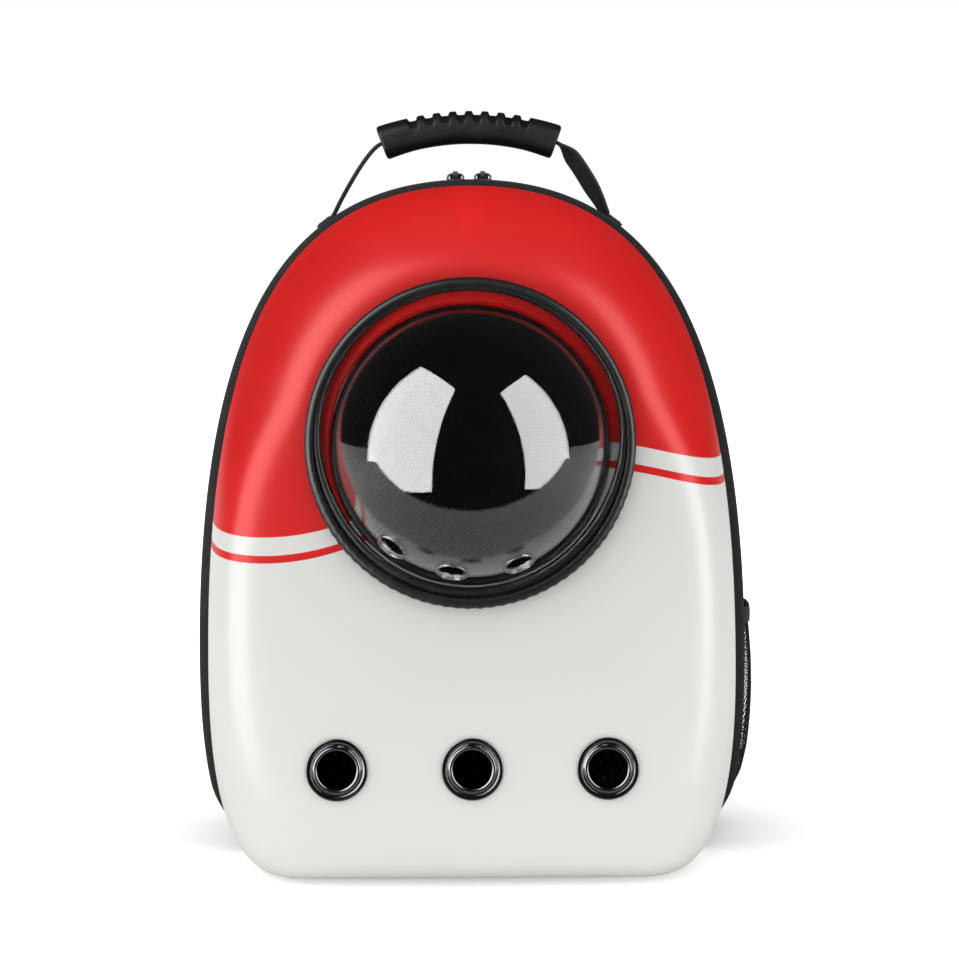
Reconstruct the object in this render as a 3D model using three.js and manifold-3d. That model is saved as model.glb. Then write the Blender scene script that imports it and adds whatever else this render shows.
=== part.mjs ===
// A backpack for carrying a small pet: a moulded front shell with a clear bubble window,
// a cloth wall behind a zip, a padded back and two shoulder straps.
// Millimetres. +Z is up, the front faces -Y, +X is on the right of someone who looks at the
// front. The origin is on the floor, in the middle of the cloth wall's flat foot.

import Module from 'manifold-3d';
import * as THREE from 'three';
import { mergeVertices } from 'three/addons/utils/BufferGeometryUtils.js';

const solids = await Module();
solids.setup();

// Clearance between pieces that touch
const gap = 0.3;

// Front outline
const bagWidth = 325.4;
const bagHeight = 416.8;
const widestHeight = 120;
const footSink = 10;
const footBlend = 5;
const liftHeight = 45;
// Share of a piece's stand-off that is left on the crown, where the cloth is pulled tight
const crownPull = 0.47;
// Shares of the outline's own width and heights that its two curves reach for
const outlineReach = { crown: 0.83, shoulder: 0.581, hip: 0.715, foot: 0.711, flat: 0.638 };
const outlineSteps = { crown: 14, hip: 9, flat: 2 };

// Front shell
const shellDepth = 118;
const shellWall = 2.5;
const faceLean = THREE.MathUtils.degToRad(4);
const windowHeight = 266;
const windowLedge = 2.5;
const seatMargin = 1.8;
const sideRoundness = 2;
const footRoundness = 10;
// How far downward a spoke from the window points where the flat lower face begins and is full
const flatBegins = -0.3;
const flatIsFull = 0.9;
const shellArc = [0, 4, 12, 23, 36, 50, 64, 78, 90];

// Bubble window
const domeRadius = 84;
const domeRise = 80;
const domeWall = 2.8;
const flangeWidth = 10;
const flangeThickness = 2.5;
const domeSegments = 32;
const domeArcSteps = 6;
const airHoleDiameter = 17.6;
const airHoleTilt = 64;
const airHoleSegments = 16;
const airHoleTurns = [-37.5, -8.4, 21.9];

// Bead round the window, wider towards its foot
const beadSkirt = 2.9;
const beadWidths = { top: 7.8, foot: 12.8 };
const beadHeight = 8;
const beadCurve = 4;
const beadArcSteps = 4;
// How far downward a spoke from the window points where the bead begins to widen and is full
const beadWidens = [-0.5, 0.7];

// Eyelets low on the shell
const eyeletBore = 22.9;
const eyeletDiameter = 36.8;
const eyeletBarrel = 1.5;
const eyeletBackFlange = 3;
const eyeletThickness = 1.4;
const eyeletLip = 1.6;
const eyeletSlack = 2.2;
const eyeletSegments = 18;
const eyeletPitch = 79.8;
const eyeletHeight = 74.6;
const eyeletNames = ['left', 'middle', 'right'];

// Edge welt, zip and cloth wall, from front to back
const weltWidth = 7.4;
const weltProud = 8.4;
const weltTuck = 3;
const zipWidth = 15;
const zipProud = 2.2;
const zipThickness = 1.6;
const coilWidth = 5;
const coilHeight = 1.6;
const gussetDepth = 106;
const gussetWall = 2.5;
const gussetProud = 3.5;
const gussetBulge = 4;
const backThickness = 14;
const backCrown = 6;

// Net pocket on the side
const pocketTop = 136;
const pocketFoot = 14;
const pocketFront = 20;
const pocketBack = 12;
const pocketBulge = 10;
const pocketWall = 1.2;
const pocketClear = 0.8;
const hemHeight = 10;
const hemThickness = 1.8;

// Carrying handle
const handleDepth = 65;
const gripLength = 111;
const gripWidth = 31;
const gripThickness = 21;
const gripRise = 9.8;
const gripAboveBag = 47.4;
const gripSides = 10;
const gripSquareness = 0.67;
const grooveCount = 8;
const groovePitch = 9.7;
const grooveWidth = 5.2;
const grooveDepth = 2.4;
const grooveSlope = 0.6;
const handleWebWidth = 25;
const handleWebThickness = 2;
const handleFootSpan = 168;
const handleFootLength = 9;
const handleClear = 0.8;
const channelClear = 0.6;
// Length of webbing that runs straight on out of the grip's end
const webbingLead = 2;
// How far out of the grip the point lies towards which the webbing leaves before it bends down
const handleTurn = 10;

// Zip sliders and their pull tabs
const sliderPitch = 17;
const sliderLength = 11;
const sliderWidth = 9;
const sliderThickness = 2.2;
const bridgeBar = 1.4;
const pullLength = 30;
const pullWidth = 7;
const pullThickness = 1.2;
const pullEyeWidth = 3;
const pullEyeWall = 0.9;
const pullHoleDiameter = 3.2;
const pullHoleInset = 4;
const pullSides = 12;
// Share of the way down to the cloth at which the tab comes to rest
const pullRest = 0.9;

// Shoulder straps
const strapWidth = 58;
const strapThickness = 11;
const strapTopSpan = 96;
const strapFootSpan = 200;
const strapTopDrop = 44.8;
const strapReach = 58;
const padSteps = 13;
// The pad narrows over its last stretch, both as shares
const padTaper = { from: 0.8, by: 0.35 };
const padFootHeight = 150;
const webbingWidth = 25;
const webbingThickness = 2;
const webbingFootHeight = 34;
const webbingTab = 22;
const buckleDrop = 42;
const buckleSize = { width: 36, length: 24, thickness: 5 };

// What follows from the sizes
const halfWidth = bagWidth / 2;
const flangeRadius = domeRadius + flangeWidth;
const beadOuterRadius = flangeRadius + gap + beadSkirt;
const seatRadius = beadOuterRadius + seatMargin;
const zipFront = gap + weltWidth + gap;
const gussetFront = zipFront + zipWidth + gap;
const backFront = gussetFront + gussetDepth + gap;
const backEdge = backFront + backThickness;
const backFace = backEdge + backCrown;
const strapTopHeight = bagHeight - strapTopDrop;
const pocketLength = gussetDepth - pocketFront - pocketBack;

// Directions
const acrossAxis = new THREE.Vector3(1, 0, 0);
const depthAxis = new THREE.Vector3(0, 1, 0);
const upAxis = new THREE.Vector3(0, 0, 1);

// Materials
const colours = {
  shell: { color: 0xd82020, roughness: 0.18, metalness: 0 },
  clear: { color: 0x9aa4ac, roughness: 0.05, metalness: 0, transparent: true, opacity: 0.4 },
  bead: { color: 0x111111, roughness: 0.25, metalness: 0 },
  metal: { color: 0x3a3a3e, roughness: 0.25, metalness: 1 },
  cloth: { color: 0x18181a, roughness: 0.9, metalness: 0 },
  net: { color: 0x202022, roughness: 0.8, metalness: 0 },
  webbing: { color: 0x151517, roughness: 0.85, metalness: 0 },
  plastic: { color: 0x141416, roughness: 0.45, metalness: 0 },
};

// Meshes and solids

function geometryFrom(vertices, triangles) {
  const geometry = new THREE.BufferGeometry();
  geometry.setAttribute('position', new THREE.Float32BufferAttribute(vertices, 3));
  geometry.setIndex(triangles);
  return geometry;
}

function signedVolume(geometry) {
  const corner = [new THREE.Vector3(), new THREE.Vector3(), new THREE.Vector3()];
  const place = geometry.attributes.position;
  const index = geometry.index;
  let volume = 0;
  for (let i = 0; i < index.count; i += 3) {
    corner.forEach((point, k) => point.fromBufferAttribute(place, index.getX(i + k)));
    volume += corner[0].dot(corner[1].clone().cross(corner[2])) / 6;
  }
  return volume;
}

// A closed mesh with shared vertices and its faces pointing out
function closed(source) {
  const bare = source.clone();
  bare.deleteAttribute('normal');
  bare.deleteAttribute('uv');
  const geometry = mergeVertices(bare, 1e-4);
  const kept = [];
  const index = geometry.index;
  for (let i = 0; i < index.count; i += 3) {
    const [a, b, c] = [index.getX(i), index.getX(i + 1), index.getX(i + 2)];
    if (a !== b && b !== c && c !== a) kept.push(a, b, c);
  }
  geometry.setIndex(kept);
  if (signedVolume(geometry) < 0) {
    for (let i = 0; i < kept.length; i += 3) {
      [kept[i + 1], kept[i + 2]] = [kept[i + 2], kept[i + 1]];
    }
    geometry.setIndex(kept);
  }
  return geometry;
}

function solidFrom(geometry) {
  const whole = closed(geometry);
  return new solids.Manifold(new solids.Mesh({
    numProp: 3,
    vertProperties: Float32Array.from(whole.attributes.position.array),
    triVerts: Uint32Array.from(whole.index.array),
  }));
}

function geometryOf(solid) {
  const mesh = solid.getMesh();
  return geometryFrom(Array.from(mesh.vertProperties), Array.from(mesh.triVerts));
}

function cut(geometry, tools) {
  let solid = solidFrom(geometry);
  for (const tool of tools) solid = solid.subtract(solidFrom(tool));
  return geometryOf(solid);
}

function joined(geometries) {
  let solid = solidFrom(geometries[0]);
  for (const other of geometries.slice(1)) solid = solid.add(solidFrom(other));
  return geometryOf(solid);
}

function piece(name, geometry, look) {
  const mesh = new THREE.Mesh(closed(geometry), new THREE.MeshStandardMaterial(colours[look]));
  mesh.name = name;
  return mesh;
}

// Skin over a row of loops that have as many points each, an even number. A wrapped skin closes
// on its first loop, and any other is closed at both ends by a ladder of faces.
function loft(loops, wrapped = false) {
  const count = loops[0].length;
  const vertices = loops.flat().flatMap((point) => [point.x, point.y, point.z]);
  const triangles = [];
  const bands = wrapped ? loops.length : loops.length - 1;
  for (let j = 0; j < bands; j += 1) {
    const near = j * count;
    const far = ((j + 1) % loops.length) * count;
    for (let i = 0; i < count; i += 1) {
      const next = (i + 1) % count;
      triangles.push(near + i, near + next, far + next);
      triangles.push(near + i, far + next, far + i);
    }
  }
  const starts = wrapped ? [] : [0, (loops.length - 1) * count];
  for (const start of starts) {
    const turned = start === 0;
    for (let i = 0; i < count / 2 - 1; i += 1) {
      const [a, b] = [start + i, start + i + 1];
      const [c, d] = [start + count - 2 - i, start + count - 1 - i];
      triangles.push(...(turned ? [a, c, b, a, d, c] : [a, b, c, a, c, d]));
    }
  }
  return geometryFrom(vertices, triangles);
}

// Shares of a strip's thickness and of its half width that its eased edges take at most
const edgeEase = { ofThickness: 0.3, ofHalfWidth: 0.5 };

// A strip with a rectangular section and eased edges, along points that share one width
// direction. Its width may taper along it.
function strip(points, widthAxis, width, thickness, shareAt = () => 1) {
  const loops = points.map((point, i) => {
    const ahead = points[Math.min(i + 1, points.length - 1)];
    const behind = points[Math.max(i - 1, 0)];
    const along = ahead.clone().sub(behind).normalize();
    const side = widthAxis.clone().addScaledVector(along, -widthAxis.dot(along)).normalize();
    const over = along.clone().cross(side);
    const share = shareAt(i / (points.length - 1));
    const halfSide = (width / 2) * share;
    const halfOver = thickness / 2;
    const ease = Math.min(thickness * edgeEase.ofThickness, halfSide * edgeEase.ofHalfWidth);
    const corners = [
      [halfSide, halfOver - ease],
      [halfSide - ease, halfOver],
      [ease - halfSide, halfOver],
      [-halfSide, halfOver - ease],
      [-halfSide, ease - halfOver],
      [ease - halfSide, -halfOver],
      [halfSide - ease, -halfOver],
      [halfSide, ease - halfOver],
    ];
    return corners.map(([out, above]) => (
      point.clone().addScaledVector(side, out).addScaledVector(over, above)
    ));
  });
  return loft(loops);
}

// A body turned about the face's normal, from a profile that closes on itself
function turned(profile, segments) {
  const points = profile.map(([radius, height]) => new THREE.Vector2(radius, height));
  const endsOnAxis = points[0].x === 0;
  if (!endsOnAxis) points.push(points[0].clone());
  return new THREE.LatheGeometry(points, segments);
}

function arcPoints(radius, centre, fromDegrees, toDegrees, steps) {
  return Array.from({ length: steps + 1 }, (_, i) => {
    const angle = THREE.MathUtils.degToRad(fromDegrees + ((toDegrees - fromDegrees) * i) / steps);
    return [centre[0] + radius * Math.cos(angle), centre[1] + radius * Math.sin(angle)];
  });
}

// Front outline: one half from the top centre down to the middle of the foot, then mirrored

// Height above the floor once the sunk foot is pressed flat
function footed(height) {
  if (height <= -footBlend) return 0;
  if (height >= footBlend) return height;
  return (height + footBlend) ** 2 / (4 * footBlend);
}

function halfOutline() {
  const flatHalf = halfWidth * outlineReach.flat;
  const crown = new THREE.CubicBezierCurve(
    new THREE.Vector2(0, bagHeight),
    new THREE.Vector2(halfWidth * outlineReach.crown, bagHeight),
    new THREE.Vector2(halfWidth, widestHeight + (bagHeight - widestHeight) * outlineReach.shoulder),
    new THREE.Vector2(halfWidth, widestHeight),
  );
  const hip = new THREE.CubicBezierCurve(
    new THREE.Vector2(halfWidth, widestHeight),
    new THREE.Vector2(halfWidth, widestHeight - (widestHeight + footSink) * outlineReach.hip),
    new THREE.Vector2(flatHalf + (halfWidth - flatHalf) * outlineReach.foot, -footSink),
    new THREE.Vector2(flatHalf, -footSink),
  );
  const foot = new THREE.LineCurve(
    new THREE.Vector2(flatHalf, -footSink),
    new THREE.Vector2(0, -footSink),
  );
  return [
    ...crown.getSpacedPoints(outlineSteps.crown).slice(0, -1),
    ...hip.getSpacedPoints(outlineSteps.hip).slice(0, -1),
    ...foot.getSpacedPoints(outlineSteps.flat),
  ];
}

function wholeOutline() {
  const right = halfOutline();
  const left = right.slice(1, -1).reverse().map((point) => new THREE.Vector2(-point.x, point.y));
  return [...right, ...left];
}

const sunkOutline = wholeOutline();
const rim = sunkOutline.map((point) => new THREE.Vector2(point.x, footed(point.y)));
const rimNormals = rim.map((_, i) => {
  const ahead = rim[(i + 1) % rim.length];
  const behind = rim[(i + rim.length - 1) % rim.length];
  return new THREE.Vector2(behind.y - ahead.y, ahead.x - behind.x).normalize();
});

// How much of a piece's stand-off shows at a height: none on the floor, all above the foot, and
// less and less towards the crown
function lift(height) {
  const above = THREE.MathUtils.smoothstep(height, widestHeight, bagHeight);
  const pull = THREE.MathUtils.lerp(1, crownPull, above);
  return THREE.MathUtils.smoothstep(height, 0, liftHeight) * pull;
}

// Loop round the bag at a depth, that stands proud of the rim or lies inside it
function around(proud, inset, depth) {
  return rim.map((point, i) => {
    const reach = proud * lift(point.y) - inset;
    return new THREE.Vector3(
      point.x + rimNormals[i].x * reach,
      depth,
      point.y + rimNormals[i].y * reach,
    );
  });
}

// Front shell

function faceDepth(height) {
  return shellDepth + Math.tan(faceLean) * (windowHeight - height);
}

function shellPoint(sunk, arc) {
  const offset = new THREE.Vector2(sunk.x, sunk.y - windowHeight);
  const away = offset.length();
  const downward = -offset.y / away;
  const flatness = THREE.MathUtils.smoothstep(downward, flatBegins, flatIsFull);
  const roundness = THREE.MathUtils.lerp(sideRoundness, footRoundness, flatness);
  const angle = THREE.MathUtils.degToRad(arc);
  const share = Math.sin(angle) ** (2 / roundness);
  const reach = (seatRadius + (away - seatRadius) * share) / away;
  const height = windowHeight + offset.y * reach;
  const depth = arc === 90 ? 0 : -faceDepth(height) * Math.cos(angle);
  return new THREE.Vector3(offset.x * reach, depth, footed(height));
}

function seatPoint(sunk) {
  const offset = new THREE.Vector2(sunk.x, sunk.y - windowHeight).setLength(domeRadius - windowLedge);
  const height = windowHeight + offset.y;
  return new THREE.Vector3(offset.x, -faceDepth(height), height);
}

// Loops moved inwards by a wall, along the skin's own normals
function insetLoops(loops, wall) {
  const last = loops.length - 1;
  const count = loops[0].length;
  return loops.map((loop, j) => loop.map((point, i) => {
    const across = loops[Math.min(j + 1, last)][i].clone().sub(loops[Math.max(j - 1, 0)][i]);
    const along = loop[(i + 1) % count].clone().sub(loop[(i + count - 1) % count]);
    const inward = across.cross(along).normalize();
    const moved = point.clone().addScaledVector(inward, wall);
    if (j === last) moved.y = 0;
    return moved;
  }));
}

// Frame of the shell's leaning face: its Y axis is the face's normal and its Z axis points down
const face = new THREE.Group();
face.position.set(0, -shellDepth, windowHeight);
face.rotation.x = Math.PI - faceLean;
face.updateMatrix();

function eyeletPlace(i) {
  const across = (i - (eyeletNames.length - 1) / 2) * eyeletPitch;
  return new THREE.Vector3(across, 0, (windowHeight - eyeletHeight) / Math.cos(faceLean));
}

function frontShell() {
  const outer = [
    sunkOutline.map(seatPoint),
    ...shellArc.map((arc) => sunkOutline.map((sunk) => shellPoint(sunk, arc))),
  ];
  const inner = insetLoops(outer, shellWall).reverse();
  const skin = loft([...outer, ...inner], true);
  const holeRadius = eyeletBore / 2 + eyeletBarrel + gap;
  const drillLength = (shellWall + eyeletSlack) * 4;
  const holes = eyeletNames.map((_, i) => {
    const place = eyeletPlace(i);
    const drill = new THREE.CylinderGeometry(holeRadius, holeRadius, drillLength, eyeletSegments);
    return drill.translate(place.x, place.y, place.z).applyMatrix4(face.matrix);
  });
  return cut(skin, holes);
}

// Bubble window, its bead and the eyelets, in the face's frame

const domeSphere = (domeRadius ** 2 + domeRise ** 2) / (2 * domeRise);
const domeCentre = domeRise - domeSphere;

// Degrees up the sphere at which a radius meets a height above the face
function sphereAngle(radius, height) {
  return THREE.MathUtils.radToDeg(Math.asin((height - domeCentre) / radius));
}

function dome() {
  const inner = domeSphere - domeWall;
  const flangeTop = gap + flangeThickness;
  const middle = [0, domeCentre];
  const profile = [
    ...arcPoints(inner, middle, 90, sphereAngle(inner, gap), domeArcSteps),
    [flangeRadius, gap],
    [flangeRadius, flangeTop],
    ...arcPoints(domeSphere, middle, sphereAngle(domeSphere, flangeTop), 90, domeArcSteps),
  ];
  profile[0][0] = 0;
  profile.at(-1)[0] = 0;
  const drills = airHoleTurns.map((turn) => {
    const radius = airHoleDiameter / 2;
    const drill = new THREE.CylinderGeometry(radius, radius, domeSphere, airHoleSegments);
    drill.translate(0, domeSphere, 0);
    drill.rotateX(THREE.MathUtils.degToRad(airHoleTilt));
    drill.rotateY(THREE.MathUtils.degToRad(turn));
    return drill.translate(0, domeCentre, 0);
  });
  return cut(turned(profile, domeSegments), drills);
}

// The bead's section where its spoke has a share of its length pointing downward
function beadSection(downward) {
  const share = THREE.MathUtils.smoothstep(downward, ...beadWidens);
  const width = THREE.MathUtils.lerp(beadWidths.top, beadWidths.foot, share);
  const under = gap + flangeThickness + gap;
  const top = under + beadHeight - beadCurve;
  const crest = arcPoints(beadCurve, [0, top], 180, 0, beadArcSteps);
  return [
    [beadOuterRadius - width, under],
    ...crest.map(([out, height]) => [
      beadOuterRadius - width / 2 + (out * width) / (beadCurve * 2),
      height,
    ]),
    [beadOuterRadius, gap],
    [flangeRadius + gap, gap],
    [flangeRadius + gap, under],
  ];
}

function domeRing() {
  const loops = Array.from({ length: domeSegments }, (_, i) => {
    const turn = (i / domeSegments) * Math.PI * 2;
    return beadSection(Math.cos(turn)).map(([radius, height]) => (
      new THREE.Vector3(radius * Math.sin(turn), height, radius * Math.cos(turn))
    ));
  });
  return loft(loops, true);
}

function ventGrommet() {
  const bore = eyeletBore / 2;
  const outer = eyeletDiameter / 2;
  const barrel = bore + eyeletBarrel;
  const back = -(shellWall + eyeletSlack);
  return turned([
    [barrel, gap],
    [outer, gap],
    [outer - eyeletThickness / 2, gap + eyeletThickness],
    [barrel + eyeletLip, gap + eyeletThickness],
    [barrel, gap + eyeletThickness + eyeletLip],
    [bore, gap + eyeletThickness],
    [bore, back - eyeletThickness],
    [barrel + eyeletBackFlange, back - eyeletThickness],
    [barrel + eyeletBackFlange, back],
    [barrel, back],
  ], eyeletSegments);
}

// Pieces that run all round the bag

// Section rows: how far out and how far back, as shares of the piece's own sizes
function band(rows) {
  return loft(rows.map(({ proud = 0, inset = 0, depth }) => around(proud, inset, depth)), true);
}

const weltSection = [
  { out: 0.35, back: 0 },
  { out: 0.8, back: 0.14 },
  { out: 1, back: 0.5 },
  { out: 0.8, back: 0.86 },
  { out: 0.35, back: 1 },
];

function edgeWelt() {
  const bead = weltSection.map(({ out, back }) => (
    { proud: weltProud * out, depth: gap + weltWidth * back }
  ));
  const tuck = [gap + weltWidth, gap].map((depth) => ({ inset: weltTuck, depth }));
  return band([...bead, ...tuck]);
}

function zipTape() {
  const coilFront = zipFront + (zipWidth - coilWidth) / 2;
  const coilBack = coilFront + coilWidth;
  const coilProud = zipProud + coilHeight;
  return band([
    { proud: zipProud, depth: zipFront },
    { proud: zipProud, depth: coilFront - coilHeight },
    { proud: coilProud, depth: coilFront },
    { proud: coilProud, depth: coilBack },
    { proud: zipProud, depth: coilBack + coilHeight },
    { proud: zipProud, depth: zipFront + zipWidth },
    { proud: zipProud, inset: zipThickness, depth: zipFront + zipWidth },
    { proud: zipProud, inset: zipThickness, depth: zipFront },
  ]);
}

// The cloth wall swells between the zip and the back
const gussetRows = [
  { back: 0, swell: 0 },
  { back: 0.12, swell: 0.5 },
  { back: 0.35, swell: 1 },
  { back: 0.65, swell: 0.95 },
  { back: 0.9, swell: 0.3 },
  { back: 1, swell: -0.6 },
];

function gussetStandOff(depth) {
  const back = THREE.MathUtils.clamp((depth - gussetFront) / gussetDepth, 0, 1);
  const next = gussetRows.findIndex((row, i) => i > 0 && back <= row.back);
  const [from, to] = [gussetRows[next - 1], gussetRows[next]];
  const share = (back - from.back) / (to.back - from.back);
  return gussetProud + gussetBulge * THREE.MathUtils.lerp(from.swell, to.swell, share);
}

function gusset() {
  const outer = gussetRows.map(({ back, swell }) => (
    { proud: gussetProud + gussetBulge * swell, depth: gussetFront + gussetDepth * back }
  ));
  const inner = outer.toReversed().map((row) => ({ ...row, inset: gussetWall }));
  return band([...outer, ...inner]);
}

const backRows = [
  { out: 1, inset: 0, back: 0 },
  { out: 1.4, inset: 0, back: 0.3 },
  { out: 1, inset: 0, back: 0.65 },
  { out: 0, inset: 0.5, back: 1 },
];
const backFields = [
  { inset: 0.09, crown: 0.6 },
  { inset: 0.15, crown: 1 },
  { inset: 0.6, crown: 1 },
];

// Loop inside the back, drawn in towards the middle of the panel
function backField(share, depth) {
  const middle = bagHeight / 2;
  const scale = 1 - share;
  return rim.map((point) => (
    new THREE.Vector3(point.x * scale, depth, middle + (point.y - middle) * scale)
  ));
}

function backPanel() {
  const edgeProud = gussetStandOff(backFront);
  const edges = backRows.map(({ out, inset, back }) => (
    around(edgeProud * out, backThickness * inset, backFront + backThickness * back)
  ));
  const fields = backFields.map(({ inset, crown }) => (
    backField(inset, backEdge + backCrown * crown)
  ));
  return loft([...edges, ...fields]);
}

// Point that stands off from the rim, between the rim's point before a place and the next one
function rimPoint(next, share, reach, depth) {
  const point = rim[next - 1].clone().lerp(rim[next], share);
  const normal = rimNormals[next - 1].clone().lerp(rimNormals[next], share).normalize();
  return new THREE.Vector3(point.x + normal.x * reach, depth, point.y + normal.y * reach);
}

// Point on the bag's right side at a height
function sidePoint(height, reach, depth) {
  const next = rim.findIndex((point, i) => i > 0 && point.y <= height);
  const share = (rim[next - 1].y - height) / (rim[next - 1].y - rim[next].y);
  return rimPoint(next, share, reach, depth);
}

// Point clear of the cloth wall's top on its right half, at a distance from the middle
function crownPoint(across, clear, depth) {
  const next = rim.findIndex((point) => point.x >= across);
  const share = (across - rim[next - 1].x) / (rim[next].x - rim[next - 1].x);
  const height = THREE.MathUtils.lerp(rim[next - 1].y, rim[next].y, share);
  return rimPoint(next, share, gussetStandOff(depth) * lift(height) + clear, depth);
}

// Net pocket

const pocketColumns = [
  { back: 0, swell: 0 },
  { back: 0.08, swell: 0.55 },
  { back: 0.25, swell: 0.9 },
  { back: 0.5, swell: 1 },
  { back: 0.75, swell: 0.9 },
  { back: 0.92, swell: 0.55 },
  { back: 1, swell: 0 },
];
const pocketRows = [
  { up: 0, swell: 0 },
  { up: 0.06, swell: 0.4 },
  { up: 0.14, swell: 0.7 },
  { up: 0.24, swell: 0.9 },
  { up: 0.36, swell: 1 },
  { up: 0.5, swell: 1 },
  { up: 0.65, swell: 0.97 },
  { up: 0.82, swell: 0.88 },
  { up: 1, swell: 0.7 },
];

// Curved sheet over the gusset's side, from rows of height and swell
function sideSheet(rows, wall) {
  const skins = [wall, 0].map((outward) => rows.map(({ height, swell }) => (
    pocketColumns.map((column) => {
      const depth = gussetFront + pocketFront + pocketLength * column.back;
      const cloth = gussetStandOff(depth) * lift(height) + pocketClear;
      return sidePoint(height, cloth + pocketBulge * swell * column.swell + outward, depth);
    })
  )));
  const loops = rows.map((_, j) => [...skins[0][j], ...skins[1][j].toReversed()]);
  return loft(loops);
}

function pocketNet() {
  const tall = pocketTop - pocketFoot;
  const rows = pocketRows.map(({ up: share, swell }) => (
    { height: pocketFoot + tall * share, swell }
  ));
  return sideSheet(rows, pocketWall);
}

function pocketHem() {
  const { swell } = pocketRows.at(-1);
  const foot = pocketTop + gap;
  const rows = [foot, foot + hemHeight].map((height) => ({ height, swell }));
  return sideSheet(rows, hemThickness);
}

// Carrying handle

const gripMiddle = bagHeight + gripAboveBag - gripThickness / 2;
const gripArc = ((gripLength / 2) ** 2 + gripRise ** 2) / (2 * gripRise);

// Places along the grip's channel, from its left end to its right end
const gripShares = [-1, -0.8, -0.6, -0.4, -0.2, 0, 0.2, 0.4, 0.6, 0.8, 1];

// Point on the grip's middle line at a distance from its centre
function gripPoint(across) {
  const drop = gripArc - Math.sqrt(gripArc ** 2 - across ** 2);
  return new THREE.Vector3(across, handleDepth, gripMiddle - drop);
}

// Places along the grip where its section changes, and how deep its top is grooved there
function gripStations() {
  const stations = [-1, 1].map((side) => ({ across: (side * gripLength) / 2, groove: 0 }));
  for (let i = 0; i < grooveCount; i += 1) {
    const middle = (i - (grooveCount - 1) / 2) * groovePitch;
    for (const side of [-1, 1]) {
      const floorEdge = side * (grooveWidth - grooveSlope) / 2;
      const topEdge = side * (grooveWidth + grooveSlope) / 2;
      stations.push({ across: middle + floorEdge, groove: grooveDepth });
      stations.push({ across: middle + topEdge, groove: 0 });
    }
  }
  return stations.sort((a, b) => a.across - b.across);
}

// Coordinate of the grip's section on a superellipse, from a sine or cosine
function squared(share) {
  return Math.sign(share) * Math.abs(share) ** gripSquareness;
}

function handleGrip() {
  const loops = gripStations().map(({ across, groove }) => {
    const centre = gripPoint(across);
    const outward = new THREE.Vector3(across, 0, gripArc - gripRise).normalize();
    const half = gripThickness / 2;
    return Array.from({ length: gripSides }, (_, i) => {
      const angle = (i + 0.5) * ((Math.PI * 2) / gripSides);
      const y = squared(Math.cos(angle)) * (gripWidth / 2);
      const z = Math.min(squared(Math.sin(angle)) * half, half - groove);
      return centre.clone().addScaledVector(depthAxis, y).addScaledVector(outward, z);
    });
  });
  const channel = gripShares.map((share) => gripPoint((gripLength / 2 + webbingLead) * share));
  const slot = strip(
    channel,
    depthAxis,
    handleWebWidth + channelClear * 2,
    handleWebThickness + channelClear * 2,
  );
  return cut(loft(loops), [slot]);
}

// The webbing is sewn down at its foot, rises to the grip and runs through it
function handleStrap() {
  const clear = handleWebThickness / 2 + handleClear;
  const foot = [1, 0.5, 0].map((share) => (
    crownPoint(handleFootSpan / 2 + handleFootLength * share, clear, handleDepth)
  ));
  const inside = gripShares.filter((share) => share > 0).toReversed()
    .map((share) => gripPoint((gripLength / 2 + webbingLead) * share));
  const leaving = inside[0].clone().sub(inside[1]).setLength(handleTurn);
  const bend = new THREE.QuadraticBezierCurve3(foot.at(-1), inside[0].clone().add(leaving), inside[0]);
  const leg = [0.15, 0.35, 0.55, 0.75, 0.9].map((share) => bend.getPoint(share));
  const right = [...foot, ...leg, ...inside];
  const left = right.toReversed().map((point) => new THREE.Vector3(-point.x, point.y, point.z));
  return strip([...right, gripPoint(0), ...left], depthAxis, handleWebWidth, handleWebThickness);
}

// Zip sliders

const sliderDepth = zipFront + zipWidth / 2;
const sliderFloor = bagHeight + (zipProud + coilHeight) * crownPull + gap;
const eyeBore = bridgeBar * Math.SQRT1_2 + gap;
const eyeRadius = eyeBore + pullEyeWall;
const bridgeAxis = sliderThickness + eyeRadius + gap;

function box(sizes, centre) {
  return new THREE.BoxGeometry(...sizes).translate(...centre);
}

function zipSlider() {
  const legHeight = bridgeAxis + bridgeBar / 2 - sliderThickness / 2;
  const legs = [-1, 1].map((side) => box(
    [bridgeBar, bridgeBar, legHeight],
    [side * (sliderLength - bridgeBar) / 2, 0, (sliderThickness + legHeight) / 2],
  ));
  return joined([
    box([sliderLength, sliderWidth, sliderThickness], [0, 0, sliderThickness / 2]),
    ...legs,
    box([sliderLength, bridgeBar, bridgeBar], [0, 0, bridgeAxis]),
  ]);
}

// The tab's eye goes round the bridge, and the tab lies back from it onto the cloth
function zipPull() {
  const eye = new THREE.CylinderGeometry(eyeRadius, eyeRadius, pullEyeWidth, pullSides);
  const bore = new THREE.CylinderGeometry(eyeBore, eyeBore, pullWidth * 2, pullSides);
  const plateLength = pullLength - eyeBore;
  const plate = box([pullWidth, plateLength, pullThickness], [0, eyeBore + plateLength / 2, 0]);
  const holeRadius = pullHoleDiameter / 2;
  const hole = new THREE.CylinderGeometry(holeRadius, holeRadius, pullThickness * 3, pullSides);
  hole.rotateX(Math.PI / 2).translate(0, pullLength - pullHoleInset, 0);
  const whole = joined([eye.rotateZ(Math.PI / 2), plate]);
  return cut(whole, [bore.rotateZ(Math.PI / 2), hole]);
}

function pullDroop() {
  const cloth = gussetStandOff(sliderDepth + pullLength) * crownPull + gap + pullThickness / 2;
  const drop = sliderFloor - bagHeight + bridgeAxis - cloth;
  return Math.asin(drop / pullLength) * pullRest;
}

// Shoulder straps

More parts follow.
